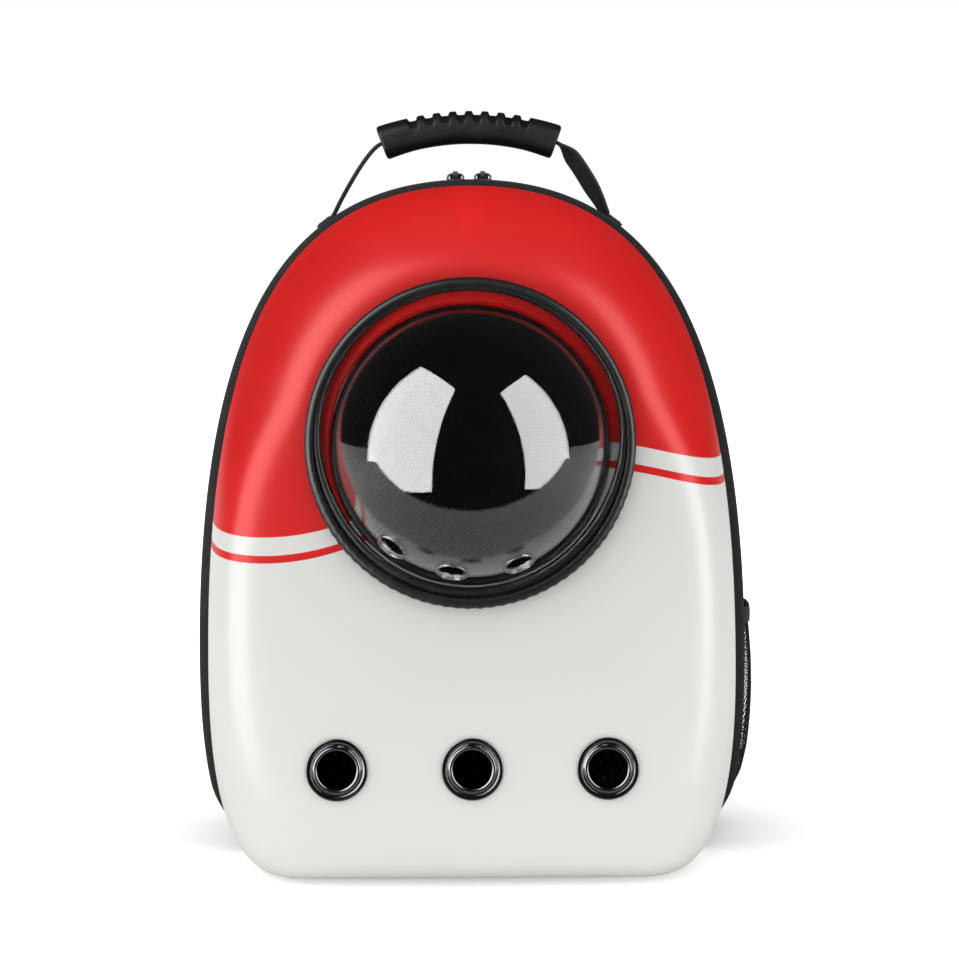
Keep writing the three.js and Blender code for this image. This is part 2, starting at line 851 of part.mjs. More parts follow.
// Rows from the top of the back down: share of the drop, of the reach and of the spread
const padRoute = [
  { down: 0.12, out: 0, spread: 0 },
  { down: 0, out: 0.03, spread: 0.01 },
  { down: -0.08, out: 0.2, spread: 0.02 },
  { down: -0.06, out: 0.5, spread: 0.04 },
  { down: 0.1, out: 0.82, spread: 0.12 },
  { down: 0.4, out: 1, spread: 0.28 },
  { down: 0.72, out: 0.94, spread: 0.5 },
  { down: 1, out: 0.78, spread: 0.72 },
];

function routePoint(side, { down, out, spread }) {
  const drop = strapTopHeight - padFootHeight;
  const half = THREE.MathUtils.lerp(strapTopSpan, strapFootSpan, spread) / 2;
  return new THREE.Vector3(
    side * half,
    backFace + gap + strapThickness / 2 + strapReach * out,
    strapTopHeight - drop * down,
  );
}

function padPoints(side) {
  const route = padRoute.map((row) => routePoint(side, row));
  return new THREE.CatmullRomCurve3(route).getPoints(padSteps);
}

function shoulderPad(side) {
  const widthAt = (share) => {
    const end = Math.max(0, share - padTaper.from) / (1 - padTaper.from);
    return 1 - padTaper.by * end;
  };
  return strip(padPoints(side), acrossAxis, strapWidth, strapThickness, widthAt);
}

function webbingPoints(side) {
  const route = padPoints(side);
  const end = route.at(-1);
  const along = end.clone().sub(route.at(-2)).normalize();
  const start = end.clone().addScaledVector(along, gap);
  const straight = start.clone().addScaledVector(along, buckleDrop * 2);
  const foot = new THREE.Vector3(
    side * (strapFootSpan / 2),
    backFace + webbingThickness / 2 + gap,
    webbingFootHeight,
  );
  const tab = foot.clone().addScaledVector(upAxis, webbingTab);
  const upper = [0, 0.25, 0.5, 0.75].map((share) => start.clone().lerp(straight, share));
  const lower = [0, 0.33, 0.67].map((share) => straight.clone().lerp(tab, share));
  return [...upper, ...lower, tab, foot];
}

function strapWebbing(side) {
  return strip(webbingPoints(side), acrossAxis, webbingWidth, webbingThickness);
}

// The adjuster is square to the webbing where the webbing goes through it
function strapBuckle(side) {
  const route = webbingPoints(side);
  const middle = route[2];
  const along = route[3].clone().sub(route[1]).normalize();
  const half = buckleSize.length / 2;
  const ends = [-half, half].map((reach) => middle.clone().addScaledVector(along, reach));
  const body = strip(ends, acrossAxis, buckleSize.width, buckleSize.thickness);
  const slot = strip(
    route.slice(0, 5),
    acrossAxis,
    webbingWidth + gap * 2,
    webbingThickness + gap * 2,
  );
  return cut(body, [slot]);
}

// Assembly

const bag = new THREE.Group();
bag.add(
  piece('front_shell', frontShell(), 'shell'),
  piece('edge_welt', edgeWelt(), 'cloth'),
  piece('zip_tape', zipTape(), 'cloth'),
  piece('gusset', gusset(), 'cloth'),
  piece('back_panel', backPanel(), 'cloth'),
  piece('pocket_net', pocketNet(), 'net'),
  piece('pocket_hem', pocketHem(), 'webbing'),
  piece('handle_grip', handleGrip(), 'plastic'),
  piece('handle_strap', handleStrap(), 'webbing'),
);

face.add(piece('dome', dome(), 'clear'), piece('dome_ring', domeRing(), 'bead'));
eyeletNames.forEach((name, i) => {
  const grommet = piece(`vent_grommet_${name}`, ventGrommet(), 'metal');
  grommet.position.copy(eyeletPlace(i));
  face.add(grommet);
});
bag.add(face);

for (const [name, side] of [['left', -1], ['right', 1]]) {
  const slider = new THREE.Group();
  slider.position.set((side * sliderPitch) / 2, sliderDepth, sliderFloor);
  const pull = piece(`zip_pull_${name}`, zipPull(), 'metal');
  pull.position.z = bridgeAxis;
  pull.rotation.x = -pullDroop();
  slider.add(piece(`zip_slider_${name}`, zipSlider(), 'metal'), pull);
  bag.add(
    slider,
    piece(`shoulder_pad_${name}`, shoulderPad(side), 'cloth'),
    piece(`strap_webbing_${name}`, strapWebbing(side), 'webbing'),
    piece(`strap_buckle_${name}`, strapBuckle(side), 'plastic'),
  );
}

bag.position.y = -(gussetFront + gussetDepth / 2);

export default bag;
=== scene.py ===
"""Looks of a backpack for carrying a small pet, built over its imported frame.

Lengths are millimetres until a mesh is made, and metres in Blender. +Z is up, the front faces
-Y, and +X is on the right of someone who looks at the front. Depths run back from the front
shell's rim until framed() moves them into the frame.
"""

import math

import bmesh
import bpy
from mathutils import Matrix, Quaternion, Vector, noise


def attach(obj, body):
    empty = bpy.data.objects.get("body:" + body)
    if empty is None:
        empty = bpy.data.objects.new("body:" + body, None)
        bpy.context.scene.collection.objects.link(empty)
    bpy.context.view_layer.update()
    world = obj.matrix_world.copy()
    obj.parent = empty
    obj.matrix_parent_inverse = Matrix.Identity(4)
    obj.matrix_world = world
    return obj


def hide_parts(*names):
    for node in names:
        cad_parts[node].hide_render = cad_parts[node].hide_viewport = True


MM = 0.001
GAP = 0.3

# Front outline
BAG_WIDTH = 325.4
BAG_HEIGHT = 416.8
WIDEST_HEIGHT = 120
FOOT_SINK = 10
FOOT_BLEND = 5
LIFT_HEIGHT = 45
CROWN_PULL = 0.47
OUTLINE_REACH = {"crown": 0.83, "shoulder": 0.581, "hip": 0.715, "foot": 0.711, "flat": 0.638}
OUTLINE_STEPS = 144

# Front shell
SHELL_DEPTH = 118
SHELL_WALL = 2.5
FACE_LEAN = math.radians(4)
WINDOW_HEIGHT = 266
SEAT_RADIUS = 99
WINDOW_RADIUS = 81.5
SEAT_RINGS = [84, 90, 95]
SIDE_ROUNDNESS = 2
FOOT_ROUNDNESS = 10
FLAT_BEGINS = -0.3
FLAT_IS_FULL = 0.9
SHELL_ROWS = 64
DRILL_REACH = 12

# Colours of the shell: a slanted wave parts them, and a slim stripe follows it
WAVE = {"height": 243, "slope": 0.13, "swing": 17, "length": 300, "start": 0.6}
STRIPE = {"below": 13, "width": 4.5}

# Bubble window and bead
DOME_RADIUS = 84
DOME_RISE = 80
DOME_WALL = 2.8
FLANGE_RADIUS = 94
FLANGE_THICKNESS = 2.5
AIR_HOLE_DIAMETER = 17.6
AIR_HOLE_TILT = 64
AIR_HOLE_TURNS = [-37.5, -8.4, 21.9]
AIR_HOLE_LIP = 0.8
AIR_HOLE_LIP_OUT = 0.35
BEAD_OUTER_RADIUS = 97.2
BEAD_WIDTHS = {"top": 7.8, "foot": 12.8}
BEAD_WIDENS = (-0.5, 0.7)
BEAD_HEIGHT = 8
BEAD_STEPS = 360
SCALLOP = 0.25

# Eyelets
EYELET_BORE = 22.9
EYELET_DIAMETER = 36.8
EYELET_BARREL = 1.5
EYELET_BACK_FLANGE = 3
EYELET_THICKNESS = 1.4
EYELET_LIP = 1.6
EYELET_SLACK = 2.2
EYELET_PITCH = 79.8
EYELET_HEIGHT = 74.6
EYELET_NAMES = ["left", "middle", "right"]

# Edge welt, zip, cloth wall and back
WELT_WIDTH = 7.4
WELT_PROUD = 8.4
WELT_TUCK = 3
ZIP_FRONT = 8
ZIP_WIDTH = 15
ZIP_PROUD = 2.2
ZIP_THICKNESS = 1.6
COIL_WIDTH = 5
COIL_HEIGHT = 1.6
COIL_BAR = 0.52
COIL_PROUD = 0.3
COIL_LEAN = 0.16
COIL_PITCH = 1.5
GUSSET_FRONT = 23.3
GUSSET_DEPTH = 106
GUSSET_WALL = 2.5
GUSSET_PROUD = 3.5
GUSSET_BULGE = 4
FOLD_DEPTH = 1.1
RIPPLE_DEPTH = 0.5
BACK_FRONT = 129.6
BACK_THICKNESS = 14
BACK_CROWN = 6
PIPING_RADIUS = 1.5
BACK_EDGE = BACK_FRONT + BACK_THICKNESS
BACK_FACE = BACK_EDGE + BACK_CROWN

# Net pocket
POCKET_TOP = 136
POCKET_FOOT = 14
POCKET_FRONT = 20
POCKET_BACK = 12
POCKET_BULGE = 10
POCKET_WALL = 1.2
POCKET_CLEAR = 0.8
POCKET_LENGTH = GUSSET_DEPTH - POCKET_FRONT - POCKET_BACK
HEM_HEIGHT = 10
HEM_THICKNESS = 1.8
HEM_GATHER = 0.35
BINDING_PROUD = 0.9
BINDING_RADIUS = 1.3
NET_STEP = 2.0
NET_STRAND = 0.5

# Carrying handle
HANDLE_DEPTH = 65
GRIP_LENGTH = 111
GRIP_WIDTH = 31
GRIP_THICKNESS = 21
GRIP_RISE = 9.8
GRIP_MIDDLE = 453.7
GRIP_FLARE = 0.5
GRIP_CORNERS = 0.67
SLIT_WIDTH = 1.1
SLIT_DEPTH = 1.6
GROOVE_COUNT = 8
GROOVE_PITCH = 9.7
GROOVE_WIDTH = 5.2
GROOVE_DEPTH = 2.4
HANDLE_WEB_WIDTH = 25
HANDLE_WEB_THICKNESS = 2
HANDLE_FOOT_SPAN = 168
HANDLE_FOOT_LENGTH = 9
HANDLE_CLEAR = 0.8
HANDLE_TURN = 10
HANDLE_TWIST = math.radians(20)

# Zip sliders
SLIDER_PITCH = 17
SLIDER_LENGTH = 11
SLIDER_WIDTH = 9
SLIDER_THICKNESS = 2.2
BRIDGE_AXIS = 4.69
BRIDGE_BAR = 1.4
SLIDER_CORNERS = 0.6
# Body of a slider: how high, and how far in its side is there
SLIDER_ROWS = [(0, 0.5), (0.3, 0.1), (SLIDER_THICKNESS - 0.5, 0.1),
               (SLIDER_THICKNESS - 0.1, 0.5), (SLIDER_THICKNESS, 1.0)]

# Shoulder straps
STRAP_WIDTH = 58
STRAP_THICKNESS = 11
STRAP_TOP_SPAN = 96
STRAP_FOOT_SPAN = 200
STRAP_TOP_HEIGHT = 372
STRAP_REACH = 58
PAD_STEPS = 13
PAD_TAPER_FROM = 0.8
PAD_TAPER_BY = 0.35
PAD_FOOT_HEIGHT = 150
WEBBING_WIDTH = 25
WEBBING_THICKNESS = 2
WEBBING_FOOT_HEIGHT = 34
WEBBING_TAB = 22
BUCKLE_DROP = 42
BUCKLE_WIDTH = 36
BUCKLE_LENGTH = 24
BUCKLE_THICKNESS = 5
BUCKLE_RAIL = 4.2
# Bars: how far along, as a share of the length, and how wide and how thick in all
BUCKLE_BARS = [(-0.42, 3.6, 3.4), (0.0, 3.2, 2.6), (0.42, 3.6, 3.4)]

DEPTH_SHIFT = -(GUSSET_FRONT + GUSSET_DEPTH / 2)

# Camera and lights
CAMERA_TARGET = (5.3, 0.0, 234.2)
CAMERA_DISTANCE = 2060
CAMERA_RISE = math.radians(5)
CAMERA_ROLL = math.radians(-0.37)
CAMERA_LENS = 124.5
# Softboxes, in metres: how bright they are in reflections and on matt surfaces
SOFTBOXES = {
    "softbox_left": {"place": (-1.05, -0.98, 0.86), "target": (0, -0.2, 0.86),
                     "size": (1.5, 2.75), "roll": math.radians(-12), "in_gloss": 7.2,
                     "on_matt": 2.0},
    "softbox_right": {"place": (1.33, -0.98, 0.72), "target": (0, -0.2, 0.72),
                      "size": (1.15, 2.6), "roll": math.radians(12), "in_gloss": 6.2,
                      "on_matt": 1.15},
}
OVERHEAD_GLOW = 0.6
BACKDROP_GLOW = 1.0
FILL_GLOW = 0.75
ROOM_GLOW = 0.03
# The floor glows faintly under the bag and fully where it meets the backdrop, in metres
FLOOR_GLOWS = {"near": 0.25, "far": 1.0, "from": 0.14, "to": 0.7}
# Share of the floor's light that reflections and matt surfaces get
FLOOR_SEEN = {"in_gloss": 0.34, "on_matt": 0.78}


# Numbers and points

def lerp(low, high, share):
    return low + (high - low) * share


def smoothstep(value, low, high):
    share = min(max((value - low) / (high - low), 0.0), 1.0)
    return share * share * (3 - 2 * share)


def framed(point):
    return Vector((point[0], point[1] + DEPTH_SHIFT, point[2]))


def lengths_along(points, closed=False):
    """Distance from the first point to each one, and round to the first again if closed."""
    made = [0.0]
    line = [*points, points[0]] if closed else points
    for here, there in zip(line, line[1:]):
        made.append(made[-1] + (there - here).length)
    return made


def spaced(points, count):
    """Points at equal steps along a line, with both its ends."""
    lengths = lengths_along(points)
    made = []
    k = 0
    for i in range(count + 1):
        target = lengths[-1] * i / count
        while k < len(points) - 2 and lengths[k + 1] < target:
            k += 1
        span = lengths[k + 1] - lengths[k]
        share = (target - lengths[k]) / span if span else 0.0
        made.append(points[k].lerp(points[k + 1], share))
    return made


def squared(value, power):
    """Sine or cosine pulled towards the sides of a square, for a section with round corners."""
    return math.copysign(abs(value) ** power, value)


def ring(middle, across, up, radius, sides):
    """Points of a circle round a middle, between two directions."""
    return [middle + across * radius * math.cos(2 * math.pi * k / sides)
            + up * radius * math.sin(2 * math.pi * k / sides) for k in range(sides)]


def spline(points, steps):
    """Centripetal Catmull-Rom curve through points, with as many steps to each span."""
    ends = [points[0] * 2 - points[1], *points, points[-1] * 2 - points[-2]]
    made = []
    for k in range(len(points) - 1):
        before, here, there, after = ends[k:k + 4]
        spans = [max((b - a).length, 1e-6) ** 0.5 for a, b in
                 ((before, here), (here, there), (there, after))]
        leave = ((here - before) / spans[0] - (there - before) / (spans[0] + spans[1])
                 + (there - here) / spans[1]) * spans[1]
        arrive = ((there - here) / spans[1] - (after - here) / (spans[1] + spans[2])
                  + (after - there) / spans[2]) * spans[1]
        for i in range(steps):
            t = i / steps
            made.append(here * (2 * t ** 3 - 3 * t * t + 1) + leave * (t ** 3 - 2 * t * t + t)
                        + there * (3 * t * t - 2 * t ** 3) + arrive * (t ** 3 - t * t))
    made.append(points[-1].copy())
    return made


def eased(table, value):
    """Second column of a table at a value of its first one, straight between its rows."""
    if value <= table[0][0]:
        return table[0][1]
    for (low, start), (high, end) in zip(table, table[1:]):
        if value <= high:
            return lerp(start, end, (value - low) / (high - low))
    return table[-1][1]


# Meshes

def new_piece(name, points, faces, looks, loops_uv=None, face_looks=None, sharp=50):
    """Object from points in millimetres of the frame. Edges sharper than an angle stay hard."""
    mesh = bpy.data.meshes.new(name)
    mesh.from_pydata([tuple(Vector(point) * MM) for point in points], [], faces)
    for look in looks:
        mesh.materials.append(look)
    if loops_uv:
        layer = mesh.uv_layers.new(name="cloth")
        for k, (u, v) in enumerate(loops_uv):
            layer.data[k].uv = (u * MM, v * MM)
    if face_looks:
        mesh.polygons.foreach_set("material_index", face_looks)
    tidy(mesh, sharp)
    piece = bpy.data.objects.new(name, mesh)
    bpy.context.scene.collection.objects.link(piece)
    return piece


def tidy(mesh, sharp):
    """Faces point out and are smooth, apart from the edges sharper than an angle."""
    work = bmesh.new()
    work.from_mesh(mesh)
    bmesh.ops.recalc_face_normals(work, faces=work.faces)
    for face in work.faces:
        face.smooth = True
    limit = math.radians(sharp)
    for edge in work.edges:
        edge.smooth = len(edge.link_faces) != 2 or edge.calc_face_angle() < limit
    work.to_mesh(mesh)
    work.free()


def grid(rows, wrapped=False, caps=False):
    """Points, quads and cloth coordinates of a skin over rows that close on themselves.

    wrapped closes the last row on the first one, and caps close both ends.
    """
    count = len(rows[0])
    across = lengths_along(rows[len(rows) // 2], True)
    middle = [row[count // 2] for row in rows]
    down = lengths_along(middle, wrapped)
    points = [point for row in rows for point in row]
    faces = []
    uv = []
    for j in range(len(rows) if wrapped else len(rows) - 1):
        below = (j + 1) % len(rows)
        for i in range(count):
            beside = (i + 1) % count
            faces.append((j * count + i, j * count + beside,
                          below * count + beside, below * count + i))
            uv.extend([(across[i], down[j]), (across[i + 1], down[j]),
                       (across[i + 1], down[j + 1]), (across[i], down[j + 1])])
    if caps:
        for start in (0, (len(rows) - 1) * count):
            faces.append(tuple(range(start, start + count)))
            uv.extend([(across[i], down[0]) for i in range(count)])
    return points, faces, uv


def skin(name, rows, look, wrapped=False, caps=False, sharp=50):
    points, faces, uv = grid(rows, wrapped, caps)
    return new_piece(name, points, faces, [look], uv, sharp=sharp)


def frames_along(points, side):
    """Width and thickness directions at each point of a line."""
    made = []
    for i, point in enumerate(points):
        along = (points[min(i + 1, len(points) - 1)] - points[max(i - 1, 0)]).normalized()
        across = (side - along * side.dot(along)).normalized()
        made.append((point, across, along.cross(across)))
    return made


def band_rows(points, side, width, thickness, turn_at=None):
    """Loops of a flat band with rounded edges along a line."""
    rows = []
    corner = thickness * 0.35
    flat = max(width / 2 - corner, 0)
    steps = len(points) - 1
    for i, (point, across, over) in enumerate(frames_along(points, side)):
        if turn_at:
            turn = turn_at(i / steps)
            across, over = (across * math.cos(turn) + over * math.sin(turn),
                            over * math.cos(turn) - across * math.sin(turn))
        row = []
        for end in (1, -1):
            for k in range(5):
                angle = math.pi * (k / 4 - 0.5)
                row.append(point + across * end * (flat + corner * math.cos(angle))
                           + over * end * math.sin(angle) * thickness / 2)
        rows.append(row)
    return rows


def tube_rows(points, radius, sides, side):
    return [ring(point, across, over, radius, sides)
            for point, across, over in frames_along(points, side)]


def places_along(path, normals, pitch, closed):
    """Even places on a line: each one's centre, its direction and its outward normal."""
    line = [*path, path[0]] if closed else list(path)
    sides = [*normals, normals[0]] if closed else list(normals)
    lengths = lengths_along(line)
    count = max(int(lengths[-1] / pitch), 1)
    made = []
    k = 0
    for n in range(count):
        target = lengths[-1] * (n + 0.5) / count
        while k < len(line) - 2 and lengths[k + 1] < target:
            k += 1
        share = (target - lengths[k]) / max(lengths[k + 1] - lengths[k], 1e-6)
        made.append((line[k].lerp(line[k + 1], share), (line[k + 1] - line[k]).normalized(),
                     sides[k].lerp(sides[k + 1], share)))
    return made


def bars(name, rings, rings_each, look):
    """Short open tubes in one piece, each from as many rings of points."""
    sides = len(rings[0])
    faces = []
    for j in range(len(rings) - 1):
        if (j + 1) % rings_each == 0:
            continue
        for i in range(sides):
            a = j * sides + i
            b = j * sides + (i + 1) % sides
            faces.append((a, b, b + sides, a + sides))
    return new_piece(name, [point for row in rings for point in row], faces, [look], sharp=180)


# How far along a stitch, and how thick and how high it is there
STITCH_PROFILE = [(-0.5, 0.25, -0.5), (-0.3, 0.9, 0.25), (0.0, 1.0, 0.45), (0.3, 0.9, 0.25),
                  (0.5, 0.25, -0.5)]


def stitches(name, path, normals, pitch=3.4, length=2.5, radius=0.42, closed=False):
    """A row of thread stitches on a line, each a small raised loop."""
    rings = []
    for centre, along, up in places_along(path, normals, pitch, closed):
        up = (up - along * up.dot(along)).normalized()
        for reach, thick, rise in STITCH_PROFILE:
            middle = centre + along * reach * length + up * radius * rise
            rings.append(ring(middle, along.cross(up), up, radius * thick, 5))
    return bars(name, rings, len(STITCH_PROFILE), LOOKS["thread"])


def turned_rows(profile, segments, matrix):
    """Loops of a body turned about the face's normal."""
    rows = []
    for radius, height in profile:
        rows.append([matrix @ Vector((radius * math.sin(2 * math.pi * k / segments), height,
                                      radius * math.cos(2 * math.pi * k / segments)))
                     for k in range(segments)])
    return rows


def arc(radius, centre, start, end, steps):
    made = []
    for i in range(steps + 1):
        angle = math.radians(lerp(start, end, i / steps))
        made.append((centre[0] + radius * math.cos(angle), centre[1] + radius * math.sin(angle)))
    return made


def cut(piece, cutter):
    """The piece with the cutter's space taken out."""
    modifier = piece.modifiers.new("cut", "BOOLEAN")
    modifier.operation = "DIFFERENCE"
    modifier.solver = "EXACT"
    modifier.object = cutter
    bake(piece)
    bpy.data.objects.remove(cutter)


def bake(piece):
    """Puts the result of a piece's modifiers into its mesh."""
    bpy.context.view_layer.update()
    graph = bpy.context.evaluated_depsgraph_get()
    made = bpy.data.meshes.new_from_object(piece.evaluated_get(graph))
    piece.modifiers.clear()
    piece.data = made


def above_floor(points, clear):
    """The points, with none closer to the floor than this."""
    return [Vector((point.x, point.y, max(point.z, clear))) for point in points]


def wear(piece, replaces=()):
    """Hangs a piece of the bag on the bag's body and hides the frame's nodes it stands for."""
    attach(piece, "bag")
    if replaces:
        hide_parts(*replaces)


# Front outline

def bezier(a, b, c, d, steps=200):
    made = []
    for i in range(steps + 1):
        t = i / steps
        s = 1 - t
        made.append(a * s ** 3 + b * (3 * s * s * t) + c * (3 * s * t * t) + d * t ** 3)
    return made


def footed(height):
    if height <= -FOOT_BLEND:
        return 0.0
    if height >= FOOT_BLEND:
        return height
    return (height + FOOT_BLEND) ** 2 / (4 * FOOT_BLEND)


def whole_outline():
    """The sunk outline from the top centre, down the right side and up the left one."""
    half = BAG_WIDTH / 2
    flat = half * OUTLINE_REACH["flat"]
    rise = BAG_HEIGHT - WIDEST_HEIGHT
    drop = WIDEST_HEIGHT + FOOT_SINK
    crown = bezier(
        Vector((0, BAG_HEIGHT)),
        Vector((half * OUTLINE_REACH["crown"], BAG_HEIGHT)),
        Vector((half, WIDEST_HEIGHT + rise * OUTLINE_REACH["shoulder"])),
        Vector((half, WIDEST_HEIGHT)),
    )
    hip = bezier(
        Vector((half, WIDEST_HEIGHT)),
        Vector((half, WIDEST_HEIGHT - drop * OUTLINE_REACH["hip"])),
        Vector((flat + (half - flat) * OUTLINE_REACH["foot"], -FOOT_SINK)),
        Vector((flat, -FOOT_SINK)),
    )
    right = spaced([*crown, *hip[1:], Vector((0, -FOOT_SINK))], OUTLINE_STEPS)
    left = [Vector((-point.x, point.y)) for point in reversed(right[1:-1])]
    return [*right, *left]


SUNK = whole_outline()
RIM = [Vector((point.x, footed(point.y))) for point in SUNK]
RIM_NORMALS = [Vector((RIM[i - 1].y - RIM[(i + 1) % len(RIM)].y,
                       RIM[(i + 1) % len(RIM)].x - RIM[i - 1].x)).normalized()
               for i in range(len(RIM))]


def lift(height):
    pull = lerp(1, CROWN_PULL, smoothstep(height, WIDEST_HEIGHT, BAG_HEIGHT))
    return smoothstep(height, 0, LIFT_HEIGHT) * pull


def around_bag(proud, inset, depth, crumple=None):
    """Loop round the bag at a depth, proud of the rim or inside it."""
    made = []
    for point, normal in zip(RIM, RIM_NORMALS):
        reach = proud * lift(point.y) - inset
        if crumple:
            reach += crumple(point.x, depth, point.y) * lift(point.y)
        made.append(framed((point.x + normal.x * reach, depth, point.y + normal.y * reach)))
    return made


def bag_normals():
    return [Vector((normal.x, 0, normal.y)) for normal in RIM_NORMALS]


def rim_point(k, share, reach, depth):
    """Point that stands off from the rim, between its point before a place and the next one."""
    point = RIM[k - 1].lerp(RIM[k], share)
    normal = RIM_NORMALS[k - 1].lerp(RIM_NORMALS[k], share).normalized()
    return framed((point.x + normal.x * reach, depth, point.y + normal.y * reach))


def side_point(height, reach, depth):
    """Point on the bag's right side at a height."""
    k = next(i for i, point in enumerate(RIM) if i and point.y <= height)
    share = (RIM[k - 1].y - height) / (RIM[k - 1].y - RIM[k].y)
    return rim_point(k, share, reach, depth)


def crown_point(across, clear, depth):
    """Point clear of the cloth wall's top on its right half, at a distance from the middle."""
    k = next(i for i, point in enumerate(RIM) if point.x >= across)
    share = (across - RIM[k - 1].x) / (RIM[k].x - RIM[k - 1].x)
    height = lerp(RIM[k - 1].y, RIM[k].y, share)
    return rim_point(k, share, gusset_stand_off(depth) * lift(height) + clear, depth)


# Materials

def new_material(name):
    made = bpy.data.materials.new(name)
    made.use_nodes = True
    return made, made.node_tree, made.node_tree.nodes["Principled BSDF"]


def feed(tree, socket, value):
    """Sets a socket to a number or a colour, or links another socket to it."""
    if isinstance(value, bpy.types.NodeSocket):
        tree.links.new(value, socket)
    else:
        socket.default_value = value


def settle(shader, values):
    for key, value in values.items():
        shader.inputs[key].default_value = value


def node(tree, kind, sockets=None, **settings):
    made = tree.nodes.new(kind)
    for key, value in settings.items():
        setattr(made, key, value)
    for key, value in (sockets or {}).items():
        feed(tree, made.inputs[key], value)
    return made


def calc(tree, operation, *values):
    made = tree.nodes.new("ShaderNodeMath")
    made.operation = operation
    for k, value in enumerate(values):
        feed(tree, made.inputs[k], value)
    return made.outputs[0]


def mixed(tree, share, low, high):
    made = node(tree, "ShaderNodeMix", data_type="RGBA")
    for k, value in ((0, share), (6, low), (7, high)):
        feed(tree, made.inputs[k], value)
    return made.outputs[2]


def ranged(tree, value, low, high, to_low, to_high):
    return node(tree, "ShaderNodeMapRange", {
        "Value": value, "From Min": low, "From Max": high, "To Min": to_low, "To Max": to_high,
    }).outputs["Result"]


def speckle(tree, size, detail=2.0):
    """Noise with features of a size in millimetres."""
    place = node(tree, "ShaderNodeTexCoord").outputs["Object"]
    return node(tree, "ShaderNodeTexNoise", {
        "Vector": place, "Scale": 1 / (size * MM), "Detail": detail,
    }).outputs[0]


def bumped(tree, shader, height, depth, strength=1.0, under=None):
    """Bump of a depth in millimetres into a shader's normal."""
    sockets = {"Height": height, "Distance": depth * MM, "Strength": strength}
    if under:
        sockets["Normal"] = under
    made = node(tree, "ShaderNodeBump", sockets).outputs["Normal"]
    tree.links.new(made, shader.inputs["Normal"])
    return made


def cloth_axes(tree):
    place = node(tree, "ShaderNodeUVMap", uv_map="cloth").outputs["UV"]
    axes = node(tree, "ShaderNodeSeparateXYZ", {"Vector": place})
    return axes.outputs["X"], axes.outputs["Y"]


def waves(tree, value, pitch):
    return calc(tree, "SINE", calc(tree, "MULTIPLY", value, 2 * math.pi / (pitch * MM)))


def woven(name, colour, pitch):
    """Plain weave with a little unevenness in its colour and nap, its crossings painted lighter
    and the hollows between them painted darker as shade.
    """
    made, tree, shader = new_material(name)
    across, along = cloth_axes(tree)
    weave = calc(tree, "MULTIPLY_ADD",
                 calc(tree, "MULTIPLY", waves(tree, across, pitch), waves(tree, along, pitch)),
                 0.5, 0.5)
    cloudy = speckle(tree, 24, 4.0)
    # Painted shade: the weave's hollows darker and its crossings lighter, mixed with uneven tone.
    shade = calc(tree, "MULTIPLY_ADD", weave, 0.6, calc(tree, "MULTIPLY", cloudy, 0.4))
    light = tuple(part * 1.9 for part in colour)
    tree.links.new(mixed(tree, shade, (*colour, 1), (*light, 1)), shader.inputs["Base Color"])
    tree.links.new(ranged(tree, cloudy, 0.3, 0.7, 0.74, 0.9), shader.inputs["Roughness"])
    settle(shader, {"Sheen Weight": 0.05, "Sheen Roughness": 0.45, "Specular IOR Level": 0.2})
    coarse = bumped(tree, shader, speckle(tree, 9, 3.0), 0.35, 0.5)
    bumped(tree, shader, weave, 0.12, 0.9, coarse)
    return made


def ribbed_webbing(name, colour):
    """Webbing with ribs along it and a fine zigzag across them, painted lighter on their tops and
    darker between them as shade.
    """
    made, tree, shader = new_material(name)
    across, along = cloth_axes(tree)
    lean = calc(tree, "ADD", along, calc(tree, "MULTIPLY", calc(tree, "ABSOLUTE",
                waves(tree, across, 5.2)), 0.9 * MM))
    ribs = calc(tree, "ABSOLUTE", waves(tree, across, 2.6))
    picks = calc(tree, "MULTIPLY_ADD", waves(tree, lean, 1.3), 0.5, 0.5)
    height = calc(tree, "MULTIPLY_ADD", ribs, 0.5, calc(tree, "MULTIPLY", picks, 0.5))
    light = tuple(part * 2.1 for part in colour)
    # Painted shade: the ribs and picks lighter on top and darker in the hollows.
    tree.links.new(mixed(tree, height, (*colour, 1), (*light, 1)), shader.inputs["Base Color"])
    tree.links.new(ranged(tree, speckle(tree, 12), 0.3, 0.7, 0.62, 0.8),
                   shader.inputs["Roughness"])
    settle(shader, {"Sheen Weight": 0.05, "Sheen Roughness": 0.4, "Specular IOR Level": 0.25})
    bumped(tree, shader, height, 0.22)
    return made


def spacer_mesh(name, colour):
    """Knitted spacer mesh: rows of small round holes, bumped in and painted darker inside as
    shade, with the knit between them painted lighter.
    """
    made, tree, shader = new_material(name)
    across, along = cloth_axes(tree)
    place = node(tree, "ShaderNodeCombineXYZ", {"X": across, "Y": along}).outputs["Vector"]
    cells = node(tree, "ShaderNodeTexVoronoi", {
        "Vector": place, "Scale": 1 / (3.1 * MM), "Randomness": 0.12,
    }).outputs["Distance"]
    raised = ranged(tree, cells, 0.22, 0.42, 0.0, 1.0)
    fine = speckle(tree, 0.7, 1.0)
    light = tuple(part * 2.2 for part in colour)
    hole_shade = tuple(part * 0.35 for part in colour)
    # Painted shade: the holes darker and the raised knit lighter than the cloth's own colour.
    tree.links.new(mixed(tree, raised, (*hole_shade, 1), (*light, 1)), shader.inputs["Base Color"])
    tree.links.new(ranged(tree, fine, 0.3, 0.7, 0.72, 0.92), shader.inputs["Roughness"])
    settle(shader, {"Sheen Weight": 0.12, "Sheen Roughness": 0.5})
    nap = bumped(tree, shader, fine, 0.15, 0.6)
    bumped(tree, shader, raised, 0.7, 1.0, nap)
    return made


